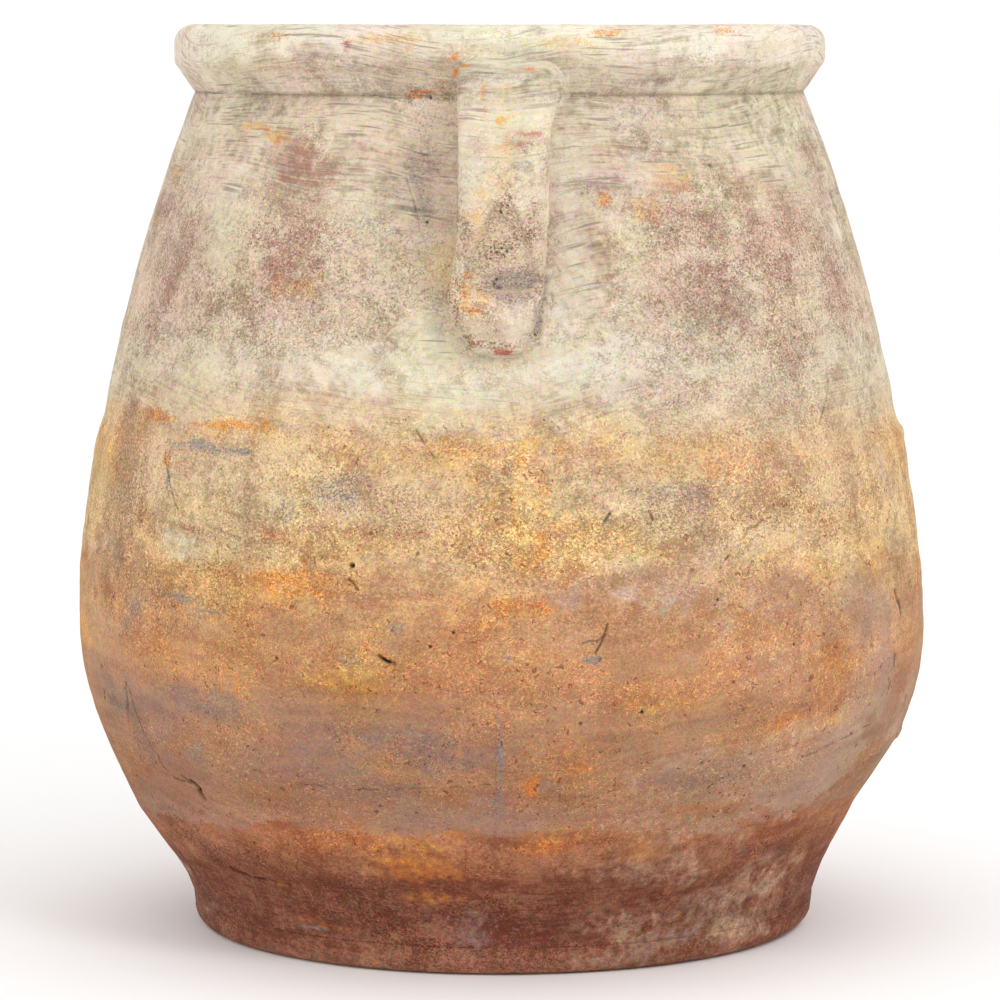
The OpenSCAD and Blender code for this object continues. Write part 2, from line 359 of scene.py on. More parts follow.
def seam_relief(points):
    """The faint edges of the two seam strips under the limewash, and their darkness."""
    x, z = points[:, 0] + 0.8 * noise(points, (9, 9, 22), 6), points[:, 2]
    edge = bump(np.abs(x), STRIP_HALF, 0.6)
    broken = rise(noise(points, (6, 6, 14), 36), -0.45, 0.45)
    low = 1 - rise(z, OCHRE_TOP - 6, OCHRE_TOP + 10)
    shown = (0.15 + 0.85 * low) * rise(z, BAND_TOP - 8, BAND_TOP + 2)
    lower = 0.35 + 0.65 * (1 - rise(z, 150, 190))
    left = np.where(x < 0, 1.0, 0.35)
    within = np.abs(x) < STRIP_HALF
    return -(0.22 * edge * broken * left + 0.1 * within) * shown, 0.2 * edge * broken * low * lower * left


def neck_crease(points):
    """Depth and darkness of the thin crease where the rim sits on the wall. The darkness is partly the
    crack's own and partly painted shadow under the rim's lower edge.
    """
    crease = bump(points[:, 2] + 0.4 * noise(points, 30, 51), NECK_Z, 0.9)
    broken = 0.3 + 0.7 * rise(noise(points, (18, 18, 40), 52), -0.5, 0.2)
    return 0.4 * crease * broken, 0.2 * crease * broken


def hand_shape(points):
    """The jar's slow lean from side to side, and the step above the ochre band."""
    a, z = np.radians(angle_of(points)), points[:, 2]
    lean = np.interp(z, SWAY_Z, SWAY)
    step = -0.9 * bump(z, OCHRE_TOP, 7) + 0.5 * bump(z, OCHRE_TOP - 16, 8)
    return lean * np.sin(a) + step * (0.3 + 0.7 * np.abs(np.sin(a)))


def outer_relief(points):
    lift, _ = marks_at(points)
    fine = 0.10 * noise(points, 8, 14) + 0.10 * noise(points, 4.5, 7)
    flat = wobble(points) + hand_shape(points) + fine
    return flat + seam_relief(points)[0] - neck_crease(points)[0] + lift


def inner_relief(points):
    """Finger ridges and smears on the inside."""
    return (
        0.9 * noise(points, (70, 70, 15), 8)
        + 0.5 * noise(points, 30, 9)
        + 0.25 * noise(points, (25, 25, 6), 10)
    )


# ---- Meshes ----

def make_object(name, points, faces):
    mesh = bpy.data.meshes.new(name)
    mesh.from_pydata((points * MM).tolist(), [], faces)
    mesh.update()
    obj = bpy.data.objects.new(name, mesh)
    bpy.context.scene.collection.objects.link(obj)
    return obj


def get_points(obj):
    flat = np.empty(len(obj.data.vertices) * 3, np.float32)
    obj.data.vertices.foreach_get("co", flat)
    return flat.reshape(-1, 3).astype(float) / MM


def set_points(obj, points):
    obj.data.vertices.foreach_set("co", (points * MM).astype(np.float32).ravel())
    obj.data.update()


def set_attribute(obj, name, values):
    """A number, vector or colour for each point."""
    values = np.asarray(values, np.float32)
    kinds = {1: ("FLOAT", "value"), 3: ("FLOAT_VECTOR", "vector"), 4: ("FLOAT_COLOR", "color")}
    kind, key = kinds[1 if values.ndim == 1 else values.shape[1]]
    attribute = obj.data.attributes.get(name) or obj.data.attributes.new(name, kind, "POINT")
    attribute.data.foreach_set(key, values.ravel())


def get_vectors(obj, name):
    flat = np.empty(len(obj.data.vertices) * 3, np.float32)
    obj.data.attributes[name].data.foreach_get("vector", flat)
    return flat.reshape(-1, 3).astype(float)


def solid_from_loops(name, loops, lifts, ring):
    """A closed solid through a row of closed loops of points. A ring's last loop meets its first.

    lifts are the directions in which relief moves each point; hidden points have none.
    """
    rows, count, _ = loops.shape
    here = np.arange(rows * count).reshape(rows, count)
    if ring:
        there = np.roll(here, -1, axis=0)
        caps = []
    else:
        here, there = here[:-1], here[1:]
        caps = [list(range(count)), [rows * count - 1 - k for k in range(count)]]
    quads = np.stack([here, there, np.roll(there, -1, 1), np.roll(here, -1, 1)], -1)
    obj = make_object(name, loops.reshape(-1, 3), quads.reshape(-1, 4).tolist() + caps)
    set_attribute(obj, "lift", lifts.reshape(-1, 3))
    clean(obj)
    return obj


def clean(obj):
    """Merges doubled points, cuts the caps into triangles and turns every face outward."""
    bm = bmesh.new()
    bm.from_mesh(obj.data)
    bmesh.ops.remove_doubles(bm, verts=bm.verts, dist=0.002 * MM)
    bmesh.ops.triangulate(bm, faces=[f for f in bm.faces if len(f.verts) > 4])
    bmesh.ops.recalc_face_normals(bm, faces=bm.faces)
    bm.to_mesh(obj.data)
    bm.free()


def refine_near_marks(obj):
    """Cuts the faces round each pit and crack twice, so that the marks are real shape."""
    for reach in (2.4, 1.3):
        points = get_points(obj)
        close = np.zeros(len(points), bool)
        for width, lift, _, picked, distance in near_marks(points, reach):
            if lift < 0:
                close[picked[distance < width + reach]] = True
        if not close.any():
            return
        bm = bmesh.new()
        bm.from_mesh(obj.data)
        bm.verts.ensure_lookup_table()
        edges = [e for e in bm.edges if close[e.verts[0].index] and close[e.verts[1].index]]
        bmesh.ops.subdivide_edges(bm, edges=edges, cuts=1, use_grid_fill=True)
        bm.to_mesh(obj.data)
        bm.free()


def raise_surface(obj, relief):
    """Moves the points along their lift directions."""
    points, lifts = get_points(obj), get_vectors(obj, "lift")
    moved = np.linalg.norm(lifts, axis=1) > 0.01
    shape = np.zeros(len(points))
    shape[moved] = relief(points[moved])
    set_attribute(obj, "base", points * MM)
    set_points(obj, points + lifts * shape[:, None])
    for face in obj.data.polygons:
        face.use_smooth = True
    obj.data.set_sharp_from_angle(angle=math.radians(62))


def steps(low, high, size):
    return np.linspace(low, high, max(2, int(round((high - low) / size)) + 1))


# ---- The jar's pieces ----

def normal_at(z, angle):
    """Direction square to the outside."""
    slope = side_slope(z)
    return turned(1, -slope, angle) / np.sqrt(1 + slope**2)[..., None]


def wall_half(name, side):
    """Half of the wall, at +X for side 1 and at -X for side -1, with a channel for each seam strip."""
    outer_z = steps(BAND_TOP, NECK_Z, FINE)
    inner_z = steps(FLOOR_T, NECK_Z, COARSE / 2)[::-1]
    behind_z = steps(FLOOR_T, BAND_TOP, COARSE)
    tongue_in = (MOUTH_R + NECK_R - TONGUE_W) / 2
    tongue = [(tongue_in + TONGUE_W, NECK_Z), (tongue_in + TONGUE_W, NECK_Z + TONGUE_H),
              (tongue_in, NECK_Z + TONGUE_H), (tongue_in, NECK_Z)]
    tongue_r, tongue_z = np.array(tongue).T
    z = np.concatenate([behind_z, outer_z, tongue_z, inner_z])
    r = np.concatenate([face_r(behind_z, BAND_T), side_r(outer_z), tongue_r, face_r(inner_z, WALL_T)])
    outside = np.zeros(len(z))
    outside[len(behind_z):len(behind_z) + len(outer_z)] = 1
    inside = np.zeros(len(z))
    inside[-len(inner_z):] = -1
    channel_r = np.where(outside > 0, face_r(z, STRIP_T), r)

    edge = np.degrees(np.arcsin(STRIP_HALF / r))
    columns = int(math.pi * RING_R.max() / FINE)
    angles = [np.zeros(len(z)), edge, edge]
    angles += [edge + (180 - 2 * edge) * k / columns for k in range(1, columns)]
    angles += [180 - edge, 180 - edge, np.full(len(z), 180.0)]
    in_channel = [0, 1, len(angles) - 2, len(angles) - 1]
    loops = np.array([
        turned(channel_r if k in in_channel else r, z, side * a) for k, a in enumerate(angles)])
    lifts = np.array([
        normal_at(z, side * a) * (outside * (k not in in_channel) + inside)[:, None]
        for k, a in enumerate(angles)])
    return solid_from_loops(name, loops, lifts, ring=False)


def strip(name, turn, half, low, high, top_depth, bottom_depth, size):
    """A strip of clay on the wall over a seam, between two depths under the outside."""
    z = steps(low, high, size)
    x = np.linspace(-half, half, int(2 * half) + 1)
    sides = []
    for depth, xs in ((top_depth, x), (bottom_depth, x[::-1])):
        r = face_r(z, depth)[:, None]
        angle = turn + np.degrees(np.arcsin(xs[None, :] / r))
        sides.append(turned(r, z[:, None], angle))
    loops = np.concatenate(sides, axis=1)
    toward = 1 if top_depth < bottom_depth and top_depth < WALL_T else -1
    lifts = np.zeros_like(loops)
    face = slice(0, len(x)) if toward == 1 else slice(len(x), None)
    angle = np.degrees(np.arctan2(loops[:, face, 0], -loops[:, face, 1]))
    lifts[:, face] = toward * normal_at(np.repeat(z[:, None], len(x), 1), angle)
    return solid_from_loops(name, loops, lifts, ring=False)


def lathe(name, outline, shown, size=FINE, wall=()):
    """A solid turned from a closed outline of (radius, height). shown says which points are seen.

    Relief moves the points numbered in wall square to the jar's wall, and others square to the outline.
    """
    outline, shown, wall = np.array(outline, float), np.array(shown, float), list(wall)
    along = np.roll(outline, -1, 0) - np.roll(outline, 1, 0)
    along /= np.maximum(np.linalg.norm(along, axis=1, keepdims=True), 1e-9)
    count = int(2 * math.pi * outline[:, 0].max() / size)
    angle = np.arange(count)[:, None] * 360 / count
    loops = turned(outline[None, :, 0], outline[None, :, 1], angle)
    out = turned(along[None, :, 1], -along[None, :, 0], angle) * shown[None, :, None]
    area = np.sum(outline[:, 0] * np.roll(outline[:, 1], -1) - np.roll(outline[:, 0], -1) * outline[:, 1])
    out = out * np.sign(area)
    if wall:
        out[:, wall] = normal_at(outline[None, wall, 1], angle) * shown[None, wall, None]
    return solid_from_loops(name, loops, out, ring=True)


def arc(centre_r, centre_z, radius, start, end, size=FINE):
    a = np.radians(steps(start, end, math.degrees(size / radius)) if start < end
                   else steps(end, start, math.degrees(size / radius))[::-1])
    return [(centre_r + radius * math.cos(t), centre_z + radius * math.sin(t)) for t in a]


def line(start, end, size=FINE):
    """Points from start up to, and without, end."""
    count = max(1, int(math.dist(start, end) / size))
    return [tuple(np.array(start) + (np.array(end) - start) * k / count) for k in range(count)]


def rim_outside():
    return (
        line((NECK_R, NECK_Z), (NECK_R + 3.2, NECK_Z + 4.6))
        + arc(RIM_R - 6.5, NECK_Z + 15.5, 6.5, -48, 0)
        + arc(RIM_R - 8.8, TOTAL_H - 8.8, 8.8, 0, 90)
    )


def rim_roll():
    outside = rim_outside()
    bore = (line((RIM_R - 8.8, TOTAL_H), (MOUTH_R + 6, TOTAL_H))[1:]
            + arc(MOUTH_R + 6, TOTAL_H - 6, 6, 90, 180)
            + line((MOUTH_R, TOTAL_H - 6), (MOUTH_R, NECK_Z), 3)[1:])
    tongue_in = (MOUTH_R + NECK_R - TONGUE_W) / 2
    hidden = [(MOUTH_R, NECK_Z), (tongue_in, NECK_Z), (tongue_in, NECK_Z + TONGUE_H),
              (tongue_in + TONGUE_W, NECK_Z + TONGUE_H), (tongue_in + TONGUE_W, NECK_Z)]
    return lathe("rim_roll_clay", outside + bore + hidden,
                 [1] * len(outside + bore) + [0] * len(hidden), wall=[0])


def foot_band():
    z = steps(FLOOR_T + SEEN_GROOVE, BAND_TOP, FINE)
    back = steps(FLOOR_T, BAND_TOP, COARSE)[::-1]
    outline = [(side_r(FLOOR_T) - SEEN_GROOVE, FLOOR_T)] + list(zip(side_r(z), z))
    outline += list(zip(face_r(back, BAND_T), back))
    shown = [1] * (len(z) + 1) + [0] * len(back)
    return lathe("foot_band_clay", outline, shown, wall=range(len(z) + 1))


def floor_slab():
    foot_r = corners("floor_slab")[1][0]
    edge = arc(foot_r - FOOT_EDGE_R, FOOT_EDGE_R, FOOT_EDGE_R, -90, 0)
    top = [(side_r(FLOOR_T) - 0.05, FLOOR_T - SEEN_GROOVE), (side_r(FLOOR_T) - SEEN_GROOVE, FLOOR_T)]
    under = line((0, 0), (foot_r - FOOT_EDGE_R, 0), COARSE)
    over = line(top[-1], (0, FLOOR_T), COARSE)[1:] + [(0, FLOOR_T)]
    shown = [0] * len(under) + list(np.linspace(0, 1, len(edge))) + [1, 1] + [0] * len(over)
    last = len(under + edge + top)
    return lathe("floor_slab_clay", under + edge + top + over, shown, wall=range(len(under), last))


def corner_coil():
    corner = np.array([face_r(FLOOR_T, WALL_T), FLOOR_T])
    on_wall = np.array([face_r(CORNER_TOP, WALL_T), CORNER_TOP])
    on_floor = corner - (CORNER_TOP - FLOOR_T, 0)
    pull = 0.7 * corner + 0.15 * (on_wall + on_floor)
    t = np.linspace(0, 1, 9)[:, None]
    hollow = (1 - t) ** 2 * on_wall + 2 * t * (1 - t) * pull + t**2 * on_floor
    z = steps(FLOOR_T, CORNER_TOP, 4)
    outline = list(zip(face_r(z, WALL_T), z))[:-1] + [tuple(p) for p in hollow]
    return lathe("floor_corner_coil_clay", outline, [0] * (len(z) - 1) + [0] + [1] * 7 + [0], 5)


# ---- The handles, shaped as distance fields and then meshed ----

# Size of a cell of the field
CELL = 0.9
# A hidden skirt joins the handle to the wall: how far it lies under the wall's face, how far back
# it goes, and how far round the strap it spreads
SKIRT_DEPTH = 0.45
SKIRT_BACK = 2.6
SKIRT_REACH = 13
# Distance from the jar's axis to the middle of the strap's thickness, where it stands out most
STRAP_REACH = STRAP_OUT - 7.5

# The strap's stations: distance from the axis, height, middle, half width and half thickness
STRAP = np.array([
    (RIM_R - 15, NECK_Z + 4, 2.8, 21.5, 7.0),
    (RIM_R + 4, NECK_Z + 7, 2.4, 22.4, 7.5),
    (STRAP_REACH - 16, NECK_Z + 2, 1.6, 21.8, 7.5),
    (STRAP_REACH - 3.5, NECK_Z - 12, -0.2, 19.6, 7.5),
    (STRAP_REACH, NECK_Z - 30, -0.9, 18.7, 7.5),
    (STRAP_REACH - 2.5, NECK_Z - 50, -1.2, 18.9, 7.5),
    (STRAP_REACH - 10, NECK_Z - 69, -2.6, 19.3, 7.3),
    (STRAP_REACH - 14, NECK_Z - 83, -4.6, 20.5, 7.0),
    (STRAP_REACH - 14.5, NECK_Z - 95, -4.4, 17.0, 6.8),
    (STRAP_REACH - 14.5, NECK_Z - 102.5, -3.0, 12.0, 5.5),
])

# Heights on the strap's front: the hollow's top, the shelf under it and the middle of the thick end
HOLLOW_TOP = NECK_Z - 34
SHELF_Z = NECK_Z - 76.5
END_Z = NECK_Z - 91

# The wad: its middle across, its half width, its radius, and its axis from the jar's axis and in height
WAD_X, WAD_HALF, WAD_R = 2, 9, 8
WAD_OUT, WAD_Z = NECK_R + 8, NECK_Z - 7
WAD_BLEND = 9

# How far the pad stands off the wall
PAD_PROUD = 2.6

# Lumps of the strap's surface: height, size and the noise's seed
STRAP_LUMPS = [(0.6, 17, 11), (0.32, 7, 12), (0.16, 3.6, 13)]

# Pits in the front of a strap: millimetres across, height, radius
HANDLE_PITS = [
    (-1.5, 317.5, 0.9), (0.5, 316.2, 1.0), (2.4, 317.2, 0.8), (-3.4, 315.8, 0.9), (-0.6, 314.6, 0.7),
    (-2.0, 332.8, 1.0), (0.8, 335.5, 0.7), (1.8, 339.0, 0.7), (-4.6, 302.0, 0.9), (-2.6, 300.6, 1.0),
    (-3.8, 304.0, 0.7), (3.8, 313.4, 0.6), (-6.2, 313.0, 0.6),
]


def smooth_path(stations, per_stretch=8):
    """Catmull-Rom curve through the stations."""
    out = []
    for i in range(len(stations) - 1):
        a, b, c = stations[max(i - 1, 0)], stations[i], stations[i + 1]
        d = stations[min(i + 2, len(stations) - 1)]
        for k in range(per_stretch):
            t = k / per_stretch
            out.append(0.5 * (2 * b + (c - a) * t + (2 * a - 5 * b + 4 * c - d) * t**2
                              + (3 * b - a - 3 * c + d) * t**3))
    return np.array(out + [stations[-1]])


def nearest_on_path(q, z, path):
    """For flat points: signed distance to a path in the (q, z) plane, + on its outer side, and the
    path's other columns at the nearest point."""
    best = np.full(q.shape, np.inf)
    signed = np.zeros(q.shape)
    rest = np.zeros(q.shape + (path.shape[1] - 2,))
    for a, b in zip(path, path[1:]):
        along = b[:2] - a[:2]
        length = max(np.hypot(*along), 1e-9)
        share = np.clip(((q - a[0]) * along[0] + (z - a[1]) * along[1]) / length**2, 0, 1)
        dq, dz = q - a[0] - share * along[0], z - a[1] - share * along[1]
        distance = np.hypot(dq, dz)
        side = np.where(dz * along[0] - dq * along[1] >= 0, 1, -1)
        closer = distance < best
        best = np.where(closer, distance, best)
        signed = np.where(closer, side * distance, signed)
        value = a[2:] + share[..., None] * (b[2:] - a[2:])
        rest = np.where(closer[..., None], value, rest)
    return signed, rest


def blend_min(a, b, width):
    """The smaller of two fields, with a fillet about width wide where they meet."""
    h = np.maximum(width - np.abs(a - b), 0) / width
    return np.minimum(a, b) - h * h * width / 4


def blend_max(a, b, width):
    return -blend_min(-a, -b, width)


def strap_front(x, z):
    """How far the strap's outer face stands off a plain one: thumbed ridges, hollow and end."""
    top = rise(z, NECK_Z - 45, NECK_Z - 25)
    crease = -1.5 * bump(x, 5.5 - 0.03 * (NECK_Z - z), 2.4) * top * (1 - rise(z, NECK_Z + 2, NECK_Z + 12))
    ridges = 1.0 * bump(x, -7, 6) * top + 0.9 * bump(x, 14, 4) * top
    # A three-cornered hollow that widens downward, between two raised edges
    down = np.clip((HOLLOW_TOP - z) / 38, 0, 1.25)
    left, right = -2 - 14.5 * down, 0 + 13.5 * down
    inside = rise(x, left - 1.0, left + 3.0) * (1 - rise(x, right - 3.0, right + 1.0))
    hollow = -3.2 * inside * rise(down, 0.02, 0.5) * rise(z, NECK_Z - 84, NECK_Z - 77)
    edges = (1.6 * bump(x, left - 2.0, 2.2) + 1.7 * bump(x, right + 2.0, 2.4)) * rise(down, 0.1, 0.5)
    edges = edges * rise(z, NECK_Z - 92, NECK_Z - 80)
    shelf = -4.4 * bump(z, SHELF_Z, 4.2) * bump(x, 1, 15)
    end = 4.6 * bump(z, END_Z, 8.5) * bump(x, -4, 14)
    pits = -1.6 * bump(handle_pits(x, z), 1, 0.35)
    # A groove round the end's lower left, with a lip left outside it
    groove = -1.5 * bump(np.hypot((x + 5) / 17.2, (z - NECK_Z + 83) / 18.5), 1, 0.13)
    groove = groove * (1 - rise(x, -4, 8)) * (1 - rise(z, NECK_Z - 76, NECK_Z - 66))
    return crease + ridges + hollow + edges + shelf + end + pits + groove


def handle_pits(x, z):
    """1 in the small pits of the hollow, and less elsewhere."""
    found = np.zeros(np.broadcast(x, z).shape)
    for at_x, at_z, radius in HANDLE_PITS:
        found = np.maximum(found, 1.4 - np.hypot(x - at_x, z - at_z) / radius)
    return np.minimum(found, 1)


def flat_jar_distance(r, z):
    """Distance from the turned outline between the shoulder and the rim's top, + outside."""
    level = steps(NECK_Z - 150, NECK_Z, 4)[:-1]
    outline = list(zip(side_r(level), level)) + rim_outside() + [(MOUTH_R, TOTAL_H)]
    signed, _ = nearest_on_path(r, z, np.array(outline))
    return -signed


def pad_outline(x, z):
    """Distance to the pad's outline, which is round below and square above."""
    half = (PAD_HIGH[0] - PAD_LOW[0]) / 2 - 1.5
    middle = -2.0
    round_z = PAD_LOW[2] + 4.5 + half
    low = np.hypot(x - middle, z - round_z) - half
    high = np.maximum(np.abs(x - middle) - half, z - PAD_HIGH[2] + 6)
    return np.where(z < round_z, low, high)


def jar_field(grid, z, world):
    """Distance of each grid point from the jar's uneven outside."""
    r = np.hypot(grid[:, 0], grid[:, 1])
    r_line = np.arange(r.min() - CELL, r.max() + 2 * CELL, CELL)
    table = flat_jar_distance(*np.meshgrid(r_line, z, indexing="ij"))
    at = (r - r_line[0]) / CELL
    cell = at.astype(int)
    share = at - cell
    z_index = np.tile(np.arange(len(z)), len(grid) // len(z))
    jar = table[cell, z_index] * (1 - share) + table[cell + 1, z_index] * share
    close = np.abs(jar) < 2 * SKIRT_BACK
    jar[close] -= wobble(world[close])
    return jar


def lumps_at(world, near):
    """The strap's uneven surface, worked out only at the points that are near it."""
    lumps = np.zeros(len(world))
    for height, size, seed in STRAP_LUMPS:
        lumps[near] += height * noise(world[near], size, seed)
    return lumps


def strap_field(across, z3, offset, shape, lumps):
    """Distance from a bar with rounded corners that follows STRAP and has the strap's thumbed front."""
    middle, half_w, half_t = (shape[None, ..., i] for i in range(3))
    front = strap_front(across, z3)
    corner = np.minimum(half_t - 0.3, 6.3)
    side = np.abs(across - middle) - (half_w - corner)
    face = np.abs(offset[None] - front / 2) - (half_t + front / 2 - corner)
    strap = np.hypot(np.maximum(side, 0), np.maximum(face, 0))
    return strap + np.minimum(np.maximum(side, face), 0) - corner - lumps


def wad_field(across, q, level):
    """Distance from the wad of clay between the strap's upper end and the rim."""
    to_axis = np.hypot(q - WAD_OUT, level - WAD_Z)[None]
    return np.hypot(np.maximum(np.abs(across - WAD_X) - WAD_HALF, 0), to_axis) - WAD_R


def handle_fields(turn):
    """The strap's and the pad's fields on one grid, with the grid's lowest corner."""
    low = np.array([-44.0, -STRAP_OUT - 8, NECK_Z - 130])
    high = np.array([46.0, -NECK_R + 12, TOTAL_H + 4])
    full = tuple(np.ceil((high - low) / CELL).astype(int))
    x, y, z = (low[i] + CELL * np.arange(full[i]) for i in range(3))
    grid = np.stack(np.meshgrid(x, y, z, indexing="ij"), -1).reshape(-1, 3)
    world = grid * (-1, -1, 1) if turn else grid
    across, z3 = grid[:, 0].reshape(full), grid[:, 2].reshape(full)
    q, level = np.meshgrid(-y, z, indexing="ij")
    offset, shape = nearest_on_path(q, level, smooth_path(STRAP))

    jar = jar_field(grid, z, world).reshape(full)
    near_strap = np.broadcast_to(np.abs(offset) < 20, full).ravel()
    near_strap = near_strap & (np.hypot(grid[:, 0], grid[:, 1]) > NECK_R - 5)
    lumps = lumps_at(world, near_strap).reshape(full)
    strap = strap_field(across, z3, offset, shape, lumps)
    strap = blend_min(strap, wad_field(across, q, level), WAD_BLEND)

    pad = blend_max(pad_outline(across, z3) - 2.6 * lumps, jar - PAD_PROUD - 0.9 * lumps, 2.6)
    fillet = 2.0 + 4.0 * rise(z3, NECK_Z - 75, NECK_Z - 10) + 1.2 * lumps
    joined = blend_min(strap, np.minimum(jar, pad) + SKIRT_DEPTH, fillet)
    strap_piece = np.maximum(joined, np.maximum(-jar - SKIRT_BACK, strap - SKIRT_REACH))
    pad_piece = np.maximum(pad, -jar - SKIRT_BACK)
    return low, strap_piece, pad_piece


def mesh_field(name, low, field, turn):
    """The closed surface where the field is zero."""
    grid = openvdb.FloatGrid()
    grid.background = 3.0
    grid.copyFromArray(np.ascontiguousarray(np.clip(field, -3, 3), np.float32))
    points, quads = grid.convertToQuads(isovalue=0.0)
    points = low + points.astype(float) * CELL
    if turn:
        points = points * (-1, -1, 1)
    obj = make_object(name, points, quads.tolist())
    clean(obj)
    for face in obj.data.polygons:
        face.use_smooth = True
    set_attribute(obj, "base", get_points(obj) * MM)
    return obj


# ---- Colours of the worn layers ----

# The studio is bright enough to turn its floor white, so the paint is a little darker than it looks
STUDIO_GAIN = 1.17


def linear(r, g, b):
    """The paint that shows as a screen colour, from 0 to 255, under the studio's light."""
    c = np.array([r, g, b]) / 255
    return np.where(c <= 0.04045, c / 12.92, ((c + 0.055) / 1.055) ** 2.4) / STUDIO_GAIN


# Height on the front, the clay underneath, the wash over it, and the wash's cover
LAYERS = [
    (0, (146, 90, 68), (204, 152, 124), 0.52),
    (10, (124, 66, 46), (180, 124, 98), 0.46),
    (24, (110, 56, 39), (166, 114, 90), 0.42),
    (42, (118, 60, 40), (172, 114, 86), 0.42),
    (52, (142, 82, 57), (196, 134, 100), 0.45),
    (66.5, (156, 94, 64), (210, 146, 108), 0.46),
    (67.5, (162, 118, 96), (204, 156, 130), 0.46),
    (82, (153, 105, 78), (196, 148, 116), 0.42),
    (95, (157, 112, 84), (202, 155, 122), 0.42),
    (120, (162, 114, 90), (214, 166, 128), 0.42),
    (145, (174, 120, 84), (228, 178, 134), 0.45),
    (166, (176, 122, 84), (232, 186, 140), 0.48),
    (178, (174, 128, 90), (236, 196, 146), 0.52),
    (186, (170, 132, 98), (240, 208, 162), 0.58),
    (220, (176, 140, 104), (242, 212, 168), 0.58),
    (236, (186, 142, 102), (242, 208, 162), 0.62),
    (243, (180, 146, 112), (238, 214, 176), 0.66),
    (254, (176, 150, 120), (236, 218, 188), 0.70),
    (269, (170, 148, 120), (232, 219, 194), 0.75),
    (294, (168, 140, 114), (232, 210, 186), 0.66),
    (344, (168, 142, 118), (233, 215, 192), 0.70),
    (369, (168, 148, 122), (234, 219, 195), 0.72),
    (381, (162, 144, 120), (230, 216, 194), 0.68),
    (393, (170, 150, 124), (234, 219, 198), 0.70),
    (404, (188, 166, 140), (246, 236, 218), 0.82),
    (410, (190, 168, 142), (246, 236, 218), 0.84),
]
LAYER_Z = np.array([layer[0] for layer in LAYERS], float)
LAYER_UNDER = np.array([linear(*layer[1]) for layer in LAYERS])
LAYER_OVER = np.array([linear(*layer[2]) for layer in LAYERS])
LAYER_COVER = np.array([layer[3] for layer in LAYERS])

# Stains: the colours they pull the clay and the wash to, and the change in cover. Some patches of grey,
# dusk, brown and umber are painted shade, and some of chalk painted highlights
STAINS = {
    "rose": ((168, 124, 108), (218, 190, 170), -0.16),
    "rust": ((172, 96, 72), (216, 160, 134), -0.12),
    "ochre": ((200, 140, 76), (238, 204, 138), 0.0),
    "orange": ((190, 108, 52), (234, 156, 78), 0.0),
    # Grey is also laid as painted shade on a handle's shelf
    "grey": ((132, 122, 120), (170, 158, 150), 0.0),
    "mauve": ((138, 108, 100), (172, 138, 124), 0.0),
    # Dusk is also laid as painted shade towards the left edge
    "dusk": ((160, 122, 104), (196, 158, 138), 0.0),
    # Chalk is also laid as painted highlights on a handle's top and right edge
    "chalk": ((190, 172, 146), (240, 230, 208), 0.14),
    # Brown is also laid as painted shadow in a handle's hollow, under its end and down its left edge
    "brown": ((112, 82, 60), (176, 146, 118), -0.25),
    "red": ((150, 50, 44), (190, 96, 84), 0.0),
    "dark": ((98, 54, 40), (132, 80, 58), 0.0),
    "haze": ((178, 142, 120), (220, 184, 156), 0.0),
    # Umber is also laid as painted shade towards the left edge
    "umber": ((140, 108, 80), (186, 152, 116), 0.0),
    "gold": ((208, 140, 66), (244, 196, 112), 0.0),
}

